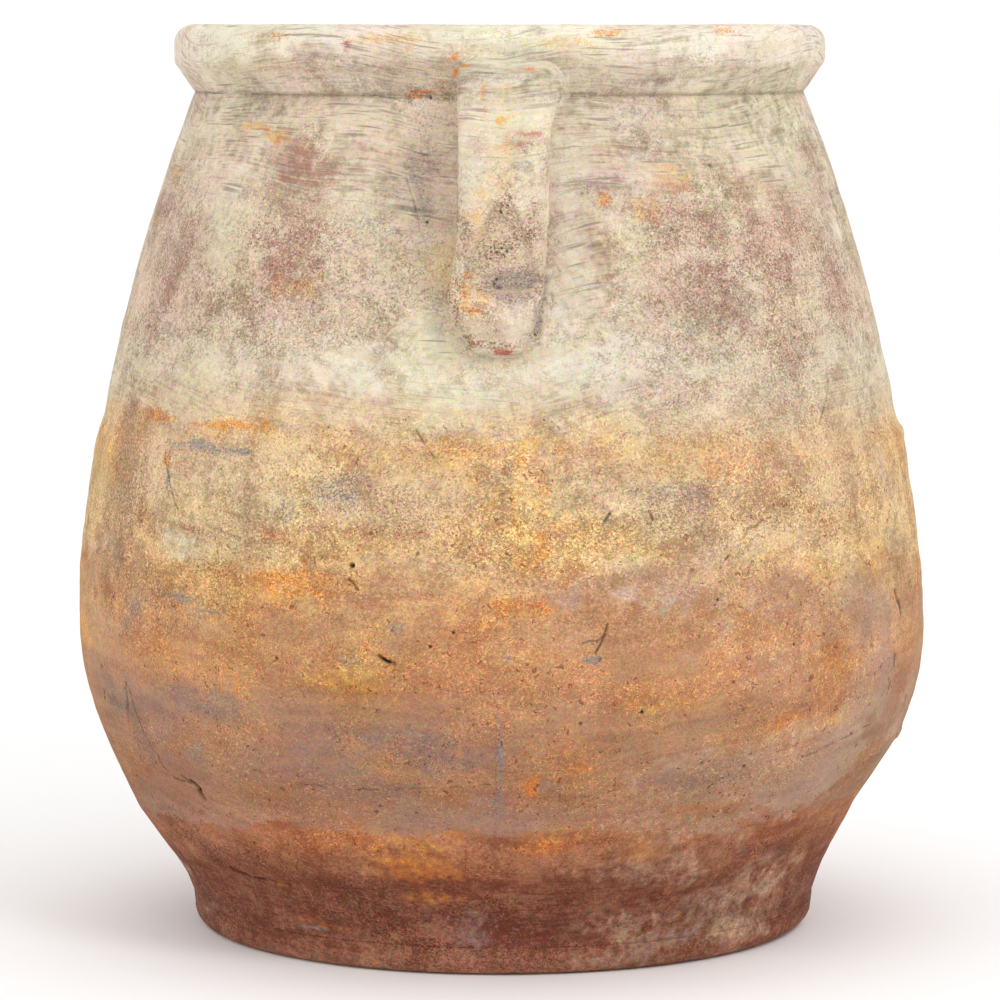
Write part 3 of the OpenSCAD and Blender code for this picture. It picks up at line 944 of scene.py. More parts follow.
# Patches: stain, angle, height, half width, half height, strength
PATCHES = [
    ("rose", -38.5, 356, 16, 12, 0.7), ("rose", -35.5, 334, 22, 24, 0.6),
    ("rose", -35.5, 315, 17, 16, 0.75), ("rose", -33, 296, 18, 16, 0.6),
    ("rose", -60, 307, 12, 24, 0.7), ("rose", -64, 290, 12, 26, 0.7), ("rose", 30, 330, 24, 16, 0.5),
    ("rose", 38, 312, 32, 26, 0.55), ("rose", 38, 289, 17, 15, 0.4), ("rose", 46, 283, 16, 18, 0.4),
    ("rose", 50, 330, 34, 34, 0.55), ("rose", 30, 296, 26, 20, 0.4), ("rose", 44, 262, 40, 20, 0.55),
    ("rose", 62, 288, 12, 26, 0.7), ("chalk", 40, 290, 9, 9, 0.2), ("rose", 66, 340, 10, 22, 0.5),
    ("rose", 17, 352, 14, 14, 0.3), ("rust", 24, 330, 3, 9, 0.3), ("rust", -35.5, 313, 9, 8, 0.2),
    ("rust", -38, 357, 8, 6, 0.2), ("rust", -30, 304, 8, 4, 0.2), ("ochre", -49, 367, 9, 2, 0.9),
    ("ochre", -44, 362, 9, 3, 0.9), ("orange", -45.5, 365, 5, 1.6, 0.9),
    ("orange", -42, 360, 3, 1.5, 0.9), ("ochre", 22, 332, 9, 6, 0.7), ("orange", 16, 337, 3.5, 3, 0.8),
    ("ochre", 27, 345, 12, 6, 0.6), ("orange", 23, 343, 3, 2, 0.7), ("ochre", -32, 300, 14, 6, 0.5),
    ("ochre", -9, 306, 8, 10, 0.5), ("orange", -36, 300, 2, 9, 0.5), ("ochre", 18, 312, 8, 12, 0.5),
    ("orange", -44, 405, 14, 2.0, 0.5), ("orange", 16, 407, 10, 2.0, 0.7),
    ("orange", 41, 407, 9, 2.0, 0.7), ("ochre", -20, 404, 16, 3, 0.7), ("orange", -16, 400, 5, 3, 0.7),
    ("ochre", 10, 402, 14, 4, 0.5), ("orange", -7.6, 396, 2.6, 2.4, 1.0),
    ("orange", -13.5, 381.4, 8, 1.0, 1.3), ("orange", -16, 379.6, 7, 0.8, 1.0),
    ("orange", -10.4, 384.5, 1.4, 3, 1.2), ("rose", -17, 392, 12, 5, 0.6),
    ("rose", -38, 394, 26, 5, 0.6), ("rose", -56, 392, 12, 6, 0.5), ("rose", 30, 397, 26, 4, 0.35),
    ("chalk", -20, 399, 30, 4, 0.6), ("chalk", 30, 385, 40, 4, 0.7), ("red", -27, 402, 1.8, 1.5, 0.9),
    ("red", 12, 379, 1.6, 1.2, 0.9), ("chalk", -5, 257, 40, 9, 0.8), ("chalk", 18, 300, 10, 30, 0.6),
    ("chalk", -50, 330, 9, 22, 0.6), ("chalk", 52, 356, 26, 12, 0.4), ("chalk", 14, 266, 18, 12, 0.7),
    ("chalk", -25, 264, 26, 10, 0.6), ("chalk", -14, 273, 14, 14, 0.7), ("chalk", 8, 286, 6, 20, 0.7),
    ("grey", -12.5, 345, 9, 27, 0.45), ("orange", -60, 240, 20, 3.0, 0.85),
    ("orange", -42, 239, 30, 1.6, 0.9), ("ochre", 20, 236, 50, 6, 0.4),
    ("grey", -47, 229.5, 14, 3.0, 1.0), ("grey", -40, 228, 14, 1.6, 0.9),
    ("grey", -51.5, 215, 1.6, 15, 0.7), ("ochre", -10, 226, 26, 10, 0.6),
    ("orange", -52, 222, 3, 4, 0.7), ("ochre", -64, 226, 14, 12, 0.6), ("rust", 34, 222, 26, 16, 0.3),
    ("rust", 50, 212, 24, 20, 0.3), ("dusk", 26, 210, 16, 12, 0.6), ("grey", 22, 216, 14, 6, 0.35),
    ("grey", -22, 214, 14, 8, 0.45), ("grey", -28, 205, 14, 10, 0.35), ("rust", -46, 194, 9, 2.2, 0.8),
    ("rust", -31, 193, 12, 2.6, 0.7), ("grey", -30, 186, 9, 5, 0.45), ("chalk", -48, 186, 22, 6, 0.5),
    ("chalk", 14, 186, 18, 6, 0.5), ("ochre", 2, 205, 14, 24, 0.3), ("orange", 5, 200, 3, 24, 0.5),
    ("ochre", 9, 196, 9, 20, 0.3), ("chalk", 34, 200, 20, 16, 0.35), ("grey", -46, 165, 18, 2.4, 0.9),
    ("grey", -40, 160, 12, 2.0, 0.8), ("grey", -56, 157, 8, 8, 0.7), ("grey", -14, 158, 5, 2, 0.8),
    ("grey", 10.5, 145, 3.6, 2.2, 1.0), ("grey", -20, 144, 8, 3, 0.5), ("orange", 4, 168, 24, 5, 0.6),
    ("orange", -30, 172, 30, 8, 0.6), ("chalk", 20, 168, 8, 5, 0.6), ("chalk", 28, 158, 12, 5, 0.5),
    ("chalk", 14, 172, 10, 4, 0.5), ("ochre", 60, 176, 16, 12, 0.4), ("grey", 56, 122, 10, 1.8, 0.9),
    ("grey", 62, 128, 6, 12, 0.5), ("grey", 66, 148, 5, 8, 0.5), ("mauve", -59, 105, 12, 18, 0.9),
    ("mauve", -66, 122, 8, 12, 0.7), ("mauve", -48, 122, 16, 7, 0.7), ("mauve", -11, 112, 28, 7, 0.8),
    ("mauve", -8, 102, 16, 6, 0.8), ("mauve", -24, 104, 20, 3, 0.6), ("haze", 26, 88, 36, 18, 0.8),
    ("haze", 50, 92, 36, 26, 1.0), ("mauve", 42, 82, 20, 4, 0.6), ("mauve", 26, 88, 30, 5, 0.6),
    ("haze", 72, 96, 16, 30, 0.9), ("mauve", 70, 84, 10, 8, 0.6), ("orange", 3.6, 91, 4.5, 6, 1.0),
    ("orange", 10, 97, 9, 3, 0.6), ("orange", 30, 76, 16, 2.4, 0.6), ("rust", 34, 74, 26, 4, 0.5),
    ("rust", -30, 92, 24, 12, 0.4), ("ochre", 22, 124, 26, 5, 0.5), ("ochre", -20, 136, 22, 5, 0.5),
    ("orange", -36, 128, 12, 9, 0.5), ("orange", 40, 112, 14, 6, 0.6), ("ochre", 50, 110, 12, 4, 0.6),
    ("orange", -8, 68, 14, 3, 0.6), ("orange", 6, 60, 12, 4, 0.6), ("dark", -58, 60, 28, 12, 0.4),
    ("dark", -48, 46, 32, 8, 0.7), ("dark", 48, 46, 22, 7, 0.6), ("dark", -20, 40, 24, 5, 0.6),
    ("dark", 12, 36, 20, 5, 0.5), ("orange", -12, 36, 12, 3, 0.7), ("orange", -33, 20, 18, 2, 0.5),
    ("orange", -40, 37, 5, 2, 0.9), ("mauve", 33, 13, 20, 5, 0.8), ("grey", -5, 20, 7, 9, 0.4),
    ("haze", 50, 34, 24, 9, 0.6), ("orange", -13, 50, 16, 6, 0.7), ("grey", -36, 17, 6, 1.2, 0.9),
    ("orange", 44, 34, 9, 2, 0.6), ("dusk", 40, 28, 26, 12, 0.7), ("grey", -0.6, 92, 1.2, 9, 0.9),
    ("mauve", 0.2, 222, 2.6, 10, 0.8), ("mauve", 0.3, 186, 2, 8, 0.5), ("grey", 0.4, 147, 2.5, 4, 0.6),
    # Painted shade: the dusk patches at -66 and -62 darken the side towards the left edge
    ("grey", -2, 84, 6, 3, 0.6), ("dusk", -66, 212, 16, 34, 0.7), ("dusk", -62, 182, 22, 10, 0.6),
    ("dusk", -40, 190, 12, 6, 0.5), ("mauve", -40, 120, 22, 8, 0.7), ("mauve", -52, 112, 14, 12, 0.6),
    ("mauve", -22, 112, 22, 6, 0.5), ("grey", -12, 322, 8, 16, 0.3), ("grey", -10, 286, 6, 12, 0.5),
    ("haze", 22, 176, 24, 12, 0.7), ("haze", 8, 172, 10, 5, 0.6), ("haze", 44, 166, 34, 14, 0.7),
    ("haze", 56, 140, 22, 34, 0.8), ("haze", 32, 66, 30, 9, 0.7), ("haze", 24, 48, 34, 8, 0.5),
    ("haze", 46, 14, 26, 9, 0.7), ("haze", 26, 12, 20, 6, 0.5), ("chalk", 9.5, 350, 10, 30, 0.9),
    ("chalk", 10, 306, 9, 26, 0.8), ("rose", 26, 338, 12, 12, 0.5), ("gold", 2, 214, 15, 29, 0.25),
    ("gold", -4, 236, 28, 7, 0.3), ("gold", -40, 236, 28, 5.5, 0.3),
    ("gold", 30, 228, 42, 8, 0.3), ("gold", -24, 186, 32, 7, 0.25),
    ("gold", 18, 190, 25, 9, 0.25), ("gold", -34, 168, 42, 11, 0.3),
    ("gold", -6, 166, 38, 9, 0.3), ("gold", 34, 152, 20, 9, 0.3),
    ("gold", -48, 140, 25, 13, 0.3), ("gold", -18, 128, 25, 11, 0.25),
    ("gold", 48, 128, 18, 18, 0.3), ("gold", 58, 170, 15, 29, 0.3),
    # Painted shade: the umber patches at -65 and -58, on this line and the next, darken the side towards
    # the left edge
    ("gold", 8, 108, 12, 9, 0.25), ("umber", -65, 206, 26, 40, 0.6),
    ("umber", -58, 172, 28, 14, 0.8), ("umber", 36, 206, 24, 20, 0.45), ("umber", 22, 206, 18, 14, 0.4),
    ("umber", -38, 168, 18, 8, 0.4), ("umber", -12, 206, 16, 10, 0.35), ("chalk", -25, 258, 20, 8, 0.7),
    ("chalk", -10, 243, 14, 5, 0.5), ("chalk", 8, 243, 14, 5, 0.5), ("rose", 24, 258, 22, 8, 0.5),
    ("dusk", -30, 92, 50, 14, 0.7), ("dusk", -54, 114, 20, 14, 0.7), ("mauve", -20, 88, 36, 9, 0.6),
    ("dusk", -8, 78, 46, 8, 0.8), ("haze", 42, 84, 34, 18, 0.9), ("haze", 36, 150, 34, 26, 0.6),
    ("haze", 8, 171, 10, 7, 0.7), ("haze", 58, 128, 16, 26, 0.7), ("mauve", 31, 92, 24, 9, 0.5),
    ("grey", 53, 123, 6, 7, 0.6), ("grey", 55, 150, 5, 5, 0.4), ("grey", 56, 163, 6, 7, 0.4),
    ("grey", -62, 116, 8, 12, 0.4), ("grey", -54, 98, 6, 10, 0.4), ("grey", -46, 96, 5, 8, 0.4),
    ("orange", -13.5, 47, 12, 5, 0.4), ("orange", 22, 55, 12, 5, 0.4), ("chalk", 40, 296, 12, 12, 0.3),
    ("grey", 6, 90, 6, 3, 0.4), ("grey", -0.6, 100, 1.2, 27, 0.9), ("umber", -0.3, 205, 0.8, 34, 0.6),
    ("haze", 60, 152, 14, 26, 0.5), ("haze", 38, 224, 14, 16, 0.5), ("haze", 28, 178, 14, 12, 0.5),
    ("haze", 20, 22, 20, 7, 0.5), ("haze", 22, 5, 24, 5, 0.6), ("umber", -50, 150, 26, 12, 0.35),
    ("haze", 38, 176, 20, 9, 0.6), ("haze", 54, 124, 22, 16, 0.7), ("haze", 46, 104, 30, 8, 0.6),
    ("umber", -40, 176, 20, 8, 0.4), ("chalk", 8, 256, 14, 5, 0.4), ("haze", 12, 178, 14, 6, 0.6),
    ("gold", -16, 60, 25, 9, 0.35), ("gold", 8, 66, 15, 4.5, 0.3), ("gold", 22, 58, 10, 3.5, 0.25),
]

# Patches on a handle, some of them painted shade and painted highlights: stain, then millimetres across
# and up, half width, half height, strength
HANDLE_PATCHES = [
    ("orange", -16.5, 393, 3.4, 1.1, 1.3), ("orange", -20.6, 389.8, 1.8, 2.4, 1.3),
    ("orange", -23.6, 385.6, 1.4, 3.4, 1.3), ("orange", -25.5, 382.2, 2.6, 1.1, 1.2),
    ("orange", -1.5, 370, 2.5, 1.8, 0.7), ("orange", 10.3, 391.5, 3.5, 1.0, 0.9),
    ("ochre", -0.5, 378, 4, 12, 0.35), ("orange", -9, 380, 1.6, 8, 0.5),
    # Painted shade: the grey patch at height 300 on the shelf under the hollow
    ("orange", 0, 362, 1.5, 5, 0.4), ("rose", 10, 363, 10, 5, 0.6), ("grey", 6, 300, 12, 8, 0.35),
    ("red", 10, 365, 6, 1.1, 0.5), ("red", 6, 361, 5, 0.9, 0.4), ("rose", -11, 362, 4, 6, 0.6),
    ("red", 20.5, 363.5, 1.0, 3, 0.9), ("rose", 17, 352, 2.5, 10, 0.5), ("ochre", -1, 350, 5, 12, 0.4),
    # Painted shadow: the brown patches in the hollow, on this line and the next
    ("brown", 0, 336, 5, 9, 0.35), ("mauve", 11, 331, 3, 9, 0.5), ("ochre", -10, 332, 8, 16, 0.35),
    ("brown", -2, 317, 10, 6, 0.35), ("brown", 8, 322, 6, 6, 0.25), ("rose", -17, 322, 3, 14, 0.7),
    # Painted shade: the grey patches near height 300, on this line and the next two, on the shelf under
    # the hollow
    ("orange", -16, 306.5, 4, 2.0, 0.7), ("grey", 4, 304.5, 14, 4.5, 0.6),
    ("grey", -8, 300.5, 8, 3, 0.5), ("ochre", -13, 294, 7, 8, 0.5), ("orange", -17.5, 297, 2, 6, 0.6),
    ("orange", -12, 291, 4, 1.4, 0.7), ("chalk", 4, 289, 11, 9, 0.7), ("grey", 5, 296, 8, 2, 0.5),
    ("red", 14.4, 299, 1.5, 1.5, 0.9), ("red", -15, 277, 4.5, 1.7, 1.0),
    # Painted shadow: the brown line under the strap's thick end
    ("red", -0.5, 273.8, 4.5, 1.8, 1.0), ("brown", -8, 276.5, 16, 2, 0.6),
    ("grey", 13, 288, 1.8, 8, 0.7), ("rose", -24, 292, 1.8, 9, 0.8), ("brown", -20.5, 287, 1.2, 9, 0.6),
    # Painted highlight: the chalk line down the strap's right edge. The mauve line down its left edge is
    # partly painted shadow and partly the line's own colour
    ("chalk", 19, 310, 2.5, 30, 0.7), ("mauve", -20.5, 345, 1.2, 26, 0.5),
    # Painted highlight: the chalk line along the fillet on the strap's top
    ("chalk", -4, 394, 20, 1.4, 0.9), ("grey", -2, 388, 22, 2.4, 0.4),
    # The brown line down the strap's left edge is partly painted shadow and partly the line's own brown.
    # Painted highlight: the chalk line down its right edge
    ("brown", -20.5, 345, 1.0, 34, 0.5), ("chalk", 20, 352, 2.0, 18, 0.6),
    # Painted shadow: the two brown lines along the end's lower edge
    ("brown", -17, 280, 3.5, 1.4, 0.7), ("brown", 12, 281, 5, 1.3, 0.6), ("grey", 15, 292, 1.3, 9, 0.6),
]

# Heavily brushed places, and places with many orange flecks: angle, height, half width, half height
BRUSHED = [(-12.5, 345, 11, 28), (12, 370, 16, 13), (17, 352, 13, 16), (-52, 352, 20, 14),
           (-24, 366, 24, 12), (12, 312, 12, 30), (-10, 284, 9, 18)]
FLECKED = [(-52, 140, 24, 16), (-36, 168, 36, 12), (-18, 138, 18, 30), (-16, 58, 22, 10), (3, 206, 10, 22),
           (10, 192, 10, 16), (48, 126, 16, 18), (34, 152, 20, 9), (8, 94, 8, 12), (20, 130, 30, 9),
           (-26, 60, 20, 7), (6, 62, 16, 5), (96, 140, 30, 20), (150, 60, 34, 9), (172, 200, 20, 26),
           (205, 150, 30, 14), (238, 132, 24, 18), (262, 190, 18, 20), (120, 96, 26, 10)]

# How many of each stain lie on the sides and back, with their heights and sizes
SCATTER = [
    ("rose", 26, 262, 362, 10, 26), ("rust", 12, 270, 355, 5, 9), ("ochre", 10, 320, 372, 5, 12),
    ("chalk", 14, 250, 372, 12, 28), ("orange", 9, 236, 246, 12, 26), ("grey", 8, 222, 236, 8, 18),
    ("rust", 14, 186, 232, 8, 22), ("chalk", 8, 182, 196, 14, 26), ("ochre", 12, 190, 230, 12, 24),
    ("grey", 10, 150, 172, 8, 20), ("orange", 10, 150, 176, 14, 28), ("ochre", 8, 118, 142, 14, 26),
    ("mauve", 16, 76, 128, 14, 34), ("haze", 14, 70, 160, 24, 40), ("dark", 12, 34, 60, 14, 30),
    ("rust", 8, 66, 98, 14, 26), ("haze", 10, 8, 34, 12, 26), ("gold", 20, 48, 236, 14, 34),
    ("orange", 8, 404, 409, 5, 12), ("rose", 8, 384, 402, 8, 18),
]


# How far past its half width a patch is looked at, as a share of it
PATCH_REACH = 1.9


def scattered_patches():
    for stain, count, low, high, small, large in SCATTER:
        for _ in range(count):
            width = RNG.uniform(small, large)
            PATCHES.append((stain, RNG.uniform(68, 292), RNG.uniform(low, high), width,
                            width * RNG.uniform(0.2, 0.6), RNG.uniform(0.3, 0.7)))


scattered_patches()


def smear(points):
    """Uneven edges for painted things: a shift in height and one along the jar's side."""
    up = 4 * noise(points, (70, 70, 40), 20) + 2.4 * noise(points, (26, 26, 9), 21)
    up = up + 1.2 * noise(points, (16, 16, 2.5), 22)
    along = 5 * noise(points, 30, 23) + 2.5 * noise(points, 9, 24)
    return up, along


def add_stain(stained, picked, away, patch_noise, stain, strength):
    """Lays one patch over the picked points, from its middle (away 0) to its edge (away 1). Most patches
    are stains; a few are painted shade and a few painted highlights.
    """
    under, over, amount, cover = stained
    weight = strength * (1 - rise(away + patch_noise, 0.35, 1.35))
    stain_under, stain_over, change = STAINS[stain]
    share = (weight / np.maximum(amount[picked] * (1 - weight) + weight, 1e-6))[:, None]
    under[picked] += (linear(*stain_under) - under[picked]) * share
    over[picked] += (linear(*stain_over) - over[picked]) * share
    amount[picked] += (1 - amount[picked]) * weight
    cover[picked] += change * weight


def turn_from(at_angle, angle):
    """Degrees from one angle to another, between -180 and 180."""
    return (angle - at_angle + 180) % 360 - 180


def lay_wall_patches(stained, points, angle, rough, up, along):
    """Lays PATCHES, with edges moved by up and along."""
    radius = side_r(points[:, 2])
    for stain, at_angle, at_z, half_w, half_h, strength in PATCHES:
        dx = np.radians(turn_from(at_angle, angle)) * radius + along * min(1, half_w / 12)
        dz = points[:, 2] - at_z + up * min(1, half_h / 10)
        away = np.hypot(dx / half_w, dz / half_h)
        picked = np.flatnonzero(away < PATCH_REACH)
        add_stain(stained, picked, away[picked], rough[picked], stain, strength)


def lay_handle_patches(stained, points, rough):
    """Lays HANDLE_PATCHES on the points that stand off the wall."""
    z, across = points[:, 2], handle_x(points)
    on_handle = (off_side(points) > 2.5) & (np.abs(across) < 32) & (z > NECK_Z - 112) & (z < NECK_Z + 16)
    for stain, at_x, at_z, half_w, half_h, strength in HANDLE_PATCHES:
        away = np.hypot((across - at_x) / half_w, (z - at_z) / half_h)
        picked = np.flatnonzero(on_handle & (away < PATCH_REACH))
        add_stain(stained, picked, away[picked], rough[picked] * 0.8, stain, strength)


def painted_layers(points):
    """Colours of clay and wash, stains on both with a few patches of painted shade and painted highlight,
    the wash's cover, brush marks and flecks.
    """
    angle, z = angle_of(points), points[:, 2]
    up, along = smear(points)
    ragged = 2.5 * noise(points, (11, 11, 4), 46) + 2.0 * noise(points, (5, 5, 2.5), 47)
    level = z + 9 * (1 - np.abs(np.cos(np.radians(angle)))) + (up + ragged) * rise(z, 0, 30)
    under = np.stack([np.interp(level, LAYER_Z, LAYER_UNDER[:, i]) for i in range(3)], -1)
    over = np.stack([np.interp(level, LAYER_Z, LAYER_OVER[:, i]) for i in range(3)], -1)
    cover = np.interp(level, LAYER_Z, LAYER_COVER)
    stained = (under.copy(), over.copy(), np.zeros(len(points)), cover)
    rough = 0.4 * noise(points, (9, 9, 6), 25) + 0.3 * noise(points, 3.5, 26)
    lay_wall_patches(stained, points, angle, rough, up, along)
    lay_handle_patches(stained, points, rough)

    tone = 1 + np.stack([
        0.05 * noise(points, 45, 27) + 0.06 * noise(points, 14, 28) + 0.04 * noise(points, 30, 40 + i)
        + 0.03 * noise(points, (12, 12, 7), 43 + i) for i in range(3)], -1)
    near_handle = rise(z, NECK_Z - 122, NECK_Z - 105) * (1 - rise(z, NECK_Z - 4, NECK_Z))
    near_handle = near_handle * bump(points[:, 0], 0, 42)
    uneven = 0.08 * noise(points, 24, 29) + 0.08 * noise(points, (30, 30, 6), 30)
    cover = cover + 0.14 * near_handle + uneven
    patchy = rise(noise(points, (36, 36, 18), 48) + 0.5 * noise(points, 9, 49), -0.5, 0.55)
    patchy = np.clip(0.75 * patchy + 0.6 * within_places(points, angle, z, FLECKED), 0, 1.1)
    banded = rise(level, 34, 60) * (1 - rise(level, 236, 252))
    fleck = 0.10 + banded * (0.08 + 1.05 * patchy)
    # The bands are warmer where they have more flecks
    tone = tone + (banded * (patchy - 0.45))[:, None] * (0.05, -0.01, -0.13)
    grain = 0.42 + 0.42 * rise(level, 140, 178) + 0.25 * (patchy - 0.5) + 0.12 * rise(level, 250, 270)
    grain = grain + 0.4 * (1 - rise(level, 58, 68))
    return {
        "clay": under * tone, "wash": over * tone,
        "stain_clay": stained[0] * tone, "stain_wash": stained[1] * tone, "stain": stained[2],
        "cover": np.clip(cover, 0.02, 0.98), "brush": brush_strength(points, angle, z), "fleck": fleck,
        "grain": np.clip(grain, 0.2, 1.2),
    }


def within_places(points, angle, z, places):
    """1 within the places, 0 well outside them, with ragged edges."""
    found = np.zeros(len(points))
    ragged = 0.4 * noise(points, 8, 39)
    for at_angle, at_z, half_w, half_h in places:
        away = np.hypot(np.radians(turn_from(at_angle, angle)) * side_r(z) / half_w, (z - at_z) / half_h)
        found = np.maximum(found, 1 - rise(away + ragged, 0.5, 1.3))
    return found


def brush_strength(points, angle, z):
    """Brush marks are strong round the neck and rim, at the wash's lower edge and in a few places."""
    neck = rise(z, NECK_Z - 62, NECK_Z - 25)
    edge = 0.8 * bump(z, OCHRE_TOP + 16, 12) + 0.4 * bump(z, OCHRE_TOP - 61, 16)
    patchy = 0.4 + 0.6 * rise(noise(points, 34, 31) + 0.4 * noise(points, 11, 38), -0.45, 0.45)
    low = 0.2 * (1 - rise(z, 66, 120)) + 0.3 * (1 - rise(z, 34, 60))
    brush = (0.15 + 0.95 * neck + 0.7 * edge + low) * patchy
    return np.clip(brush + 0.8 * within_places(points, angle, z, BRUSHED), 0, 1)


RAW_UNDER, RAW_OVER = linear(140, 84, 58), linear(186, 124, 88)


def handle_darkness(points):
    """Darkness in a strap's pits, and painted shade in the crease where the handle meets the wall."""
    z, off = points[:, 2], off_side(points)
    pits = 0.7 * (off > 4) * rise(handle_pits(handle_x(points), z), 0.35, 1.0)
    patchiness = 0.4 + 0.6 * rise(noise(points, 6, 50), -0.4, 0.4)
    lower = 1 - rise(z, NECK_Z - 16, NECK_Z - 4)
    crease = 1.6 + 2.0 * (1 - rise(z, NECK_Z - 82, NECK_Z - 68))
    # Painted shade: darker in the crease round the handle's foot, broken up by noise
    crease_shade = 0.36 * bump(off - wobble(points), crease, 1.2) * patchiness * lower
    return np.maximum(marks_at(points)[1], pits) + crease_shade


def paint(obj, raw):
    """Stores the layers on the points. raw, from 0 to 1 for each point, is bare clay."""
    points = get_vectors(obj, "base") / MM
    layers = painted_layers(points)
    tone = (1 + 0.12 * noise(points, 40, 32) + 0.08 * noise(points, (30, 30, 8), 33))[:, None]
    bare = {"clay": RAW_UNDER * tone, "stain_clay": RAW_UNDER * tone, "wash": RAW_OVER * tone,
            "stain_wash": RAW_OVER * tone, "cover": 0.5 + 0.1 * noise(points, (20, 20, 8), 34)}
    for name, values in layers.items():
        goal = bare.get(name, values * 0.4)
        share = raw[:, None] if values.ndim == 2 else raw
        mixed = values * (1 - share) + goal * share
        if values.ndim == 2:
            mixed = np.hstack([np.clip(mixed, 0, 1), np.ones((len(points), 1))])
        set_attribute(obj, name, mixed)
    if "handle" in obj.name:
        darkness = handle_darkness(points)
    else:
        # Dark marks, and the neck crease's darkness, which is partly painted shadow under the rim
        darkness = marks_at(points)[1] + neck_crease(points)[1]
    # The darkness holds dark pits, cracks and seam edges, and painted shade in creases
    set_attribute(obj, "dark", np.clip(darkness + seam_relief(points)[1], 0, 1) * (1 - raw))
    for name in ("base", "lift"):
        if name in obj.data.attributes:
            obj.data.attributes.remove(obj.data.attributes[name])


def rawness(obj):
    """1 inside the jar and under it, 0 outside, with a brushed edge a little way down the mouth."""
    points = get_vectors(obj, "base") / MM
    z, depth = points[:, 2], -off_side(points)
    inside = rise(depth, 5, 8) * (z < NECK_Z + 1) * (z > 0.5)
    wash_end = NECK_Z + 6 + 6 * noise(points, (40, 40, 12), 35)
    mouth = (1 - rise(z, wash_end - 7, wash_end + 5)) * (depth > 8)
    below = (z <= 0.6) * 1.0
    return np.clip(np.maximum(np.maximum(inside * (z < NECK_Z - 14), mouth), below), 0, 1)


# ---- Materials ----

class Nodes:
    """Small helpers that add shader nodes to one material."""

    def __init__(self, name):
        self.material = bpy.data.materials.new(name)
        self.material.use_nodes = True
        self.tree = self.material.node_tree
        self.shader = self.tree.nodes["Principled BSDF"]

    def put(self, socket, value):
        if isinstance(value, bpy.types.NodeSocket):
            self.tree.links.new(value, socket)
        else:
            socket.default_value = value

    def add(self, kind, output=0, settings=(), **inputs):
        node = self.tree.nodes.new(kind)
        for key, value in dict(settings).items():
            setattr(node, key, value)
        for key, value in inputs.items():
            self.put(node.inputs[int(key[1:]) if key[0] == "_" else key], value)
        return node.outputs[output]

    def attribute(self, name, output="Fac"):
        return self.add("ShaderNodeAttribute", output, {"attribute_name": name})

    def math(self, operation, a, b=0.0):
        return self.add("ShaderNodeMath", 0, {"operation": operation}, _0=a, _1=b)

    def total(self, *values, operation="ADD"):
        out = values[0]
        for value in values[1:]:
            out = self.math(operation, out, value)
        return out

    def product(self, *values):
        return self.total(*values, operation="MULTIPLY")

    def spread(self, value, centre, gain):
        """How far a value is from its centre, times gain."""
        return self.math("MULTIPLY", self.math("SUBTRACT", value, centre), gain)

    def scaled(self, vector, x, y, z):
        return self.add("ShaderNodeVectorMath", 0, {"operation": "MULTIPLY"}, _0=vector, _1=(x, y, z))

    def noise(self, vector, scale, detail=2.0, roughness=0.55, twist=0.0):
        return self.add("ShaderNodeTexNoise", 0, (), Vector=vector, Scale=scale, Detail=detail,
                        Roughness=roughness, Distortion=twist)

    def ramp(self, value, low, high):
        return self.add("ShaderNodeMapRange", 0, {"interpolation_type": "SMOOTHSTEP"},
                        _0=value, _1=low, _2=high)

    def mix(self, share, a, b, blend="MIX"):
        settings = {"data_type": "RGBA", "blend_type": blend}
        return self.add("ShaderNodeMix", 2, settings, _0=share, _6=a, _7=b)

    def tinted(self, colour, share, tint):
        """The colour, multiplied by a tint as far as share says."""
        return self.mix(share, colour, self.mix(1.0, colour, (*tint, 1), "MULTIPLY"))


# Colour that the dark attribute pulls towards: dark pits, cracks and seam edges, and painted shade in the
# creases under the rim and round the handles
DIRT_AND_SHADE = (0.030, 0.020, 0.017, 1)
ROUGHNESS = 0.85
SPECULAR = 0.2
# Height of the finest relief, in metres
RELIEF_DEPTH = 0.0006


def swept_place(n, where, stroke_size):
    """Coordinates that bend and slant a little, so that brush marks aren't level."""
    warp = n.spread(n.noise(where, 7, 1), 0.5, 0.045 * stroke_size)
    across = n.math("ABSOLUTE", n.add("ShaderNodeSeparateXYZ", 0, (), Vector=where))
    slant = n.math("MULTIPLY", across, -0.12 * stroke_size)
    tilt = n.add("ShaderNodeCombineXYZ", 0, (), X=0.0, Y=0.0, Z=n.math("ADD", warp, slant))
    return n.add("ShaderNodeVectorMath", 0, {"operation": "ADD"}, _0=where, _1=tilt)


def clay_patterns(n, where, grain, stroke_size):
    """The noise that breaks up the layers, from the finest to the widest, in lumps per metre."""
    swept = swept_place(n, where, stroke_size)
    along = 36 / stroke_size
    return SimpleNamespace(
        dust=n.noise(where, 1500, 1, 0.5),
        speck=n.noise(n.scaled(where, 1, 1, 1.25), 980 / grain, 2, 0.55, 0.9),
        crumbs=n.noise(where, 560, 1.5, 0.5, 1.8),
        flecks=n.noise(n.scaled(where, 1, 1, 1.2), 520, 2, 0.5, 2.4),
        soot=n.noise(where, 420, 1, 0.5, 0.9),
        hues=n.add("ShaderNodeTexNoise", 1, (), Vector=where, Scale=420 / grain, Detail=2.0),
        clump=n.noise(where, 210 / grain, 2, 0.6),
        patch=n.noise(where, 60, 3, 0.6),
        bristle=n.noise(n.scaled(swept, along, along, 640), 1.0, 2.5, 0.65),
        stroke=n.noise(n.scaled(swept, along * 0.4, along * 0.4, 210), 1.0, 2, 0.6),
    )


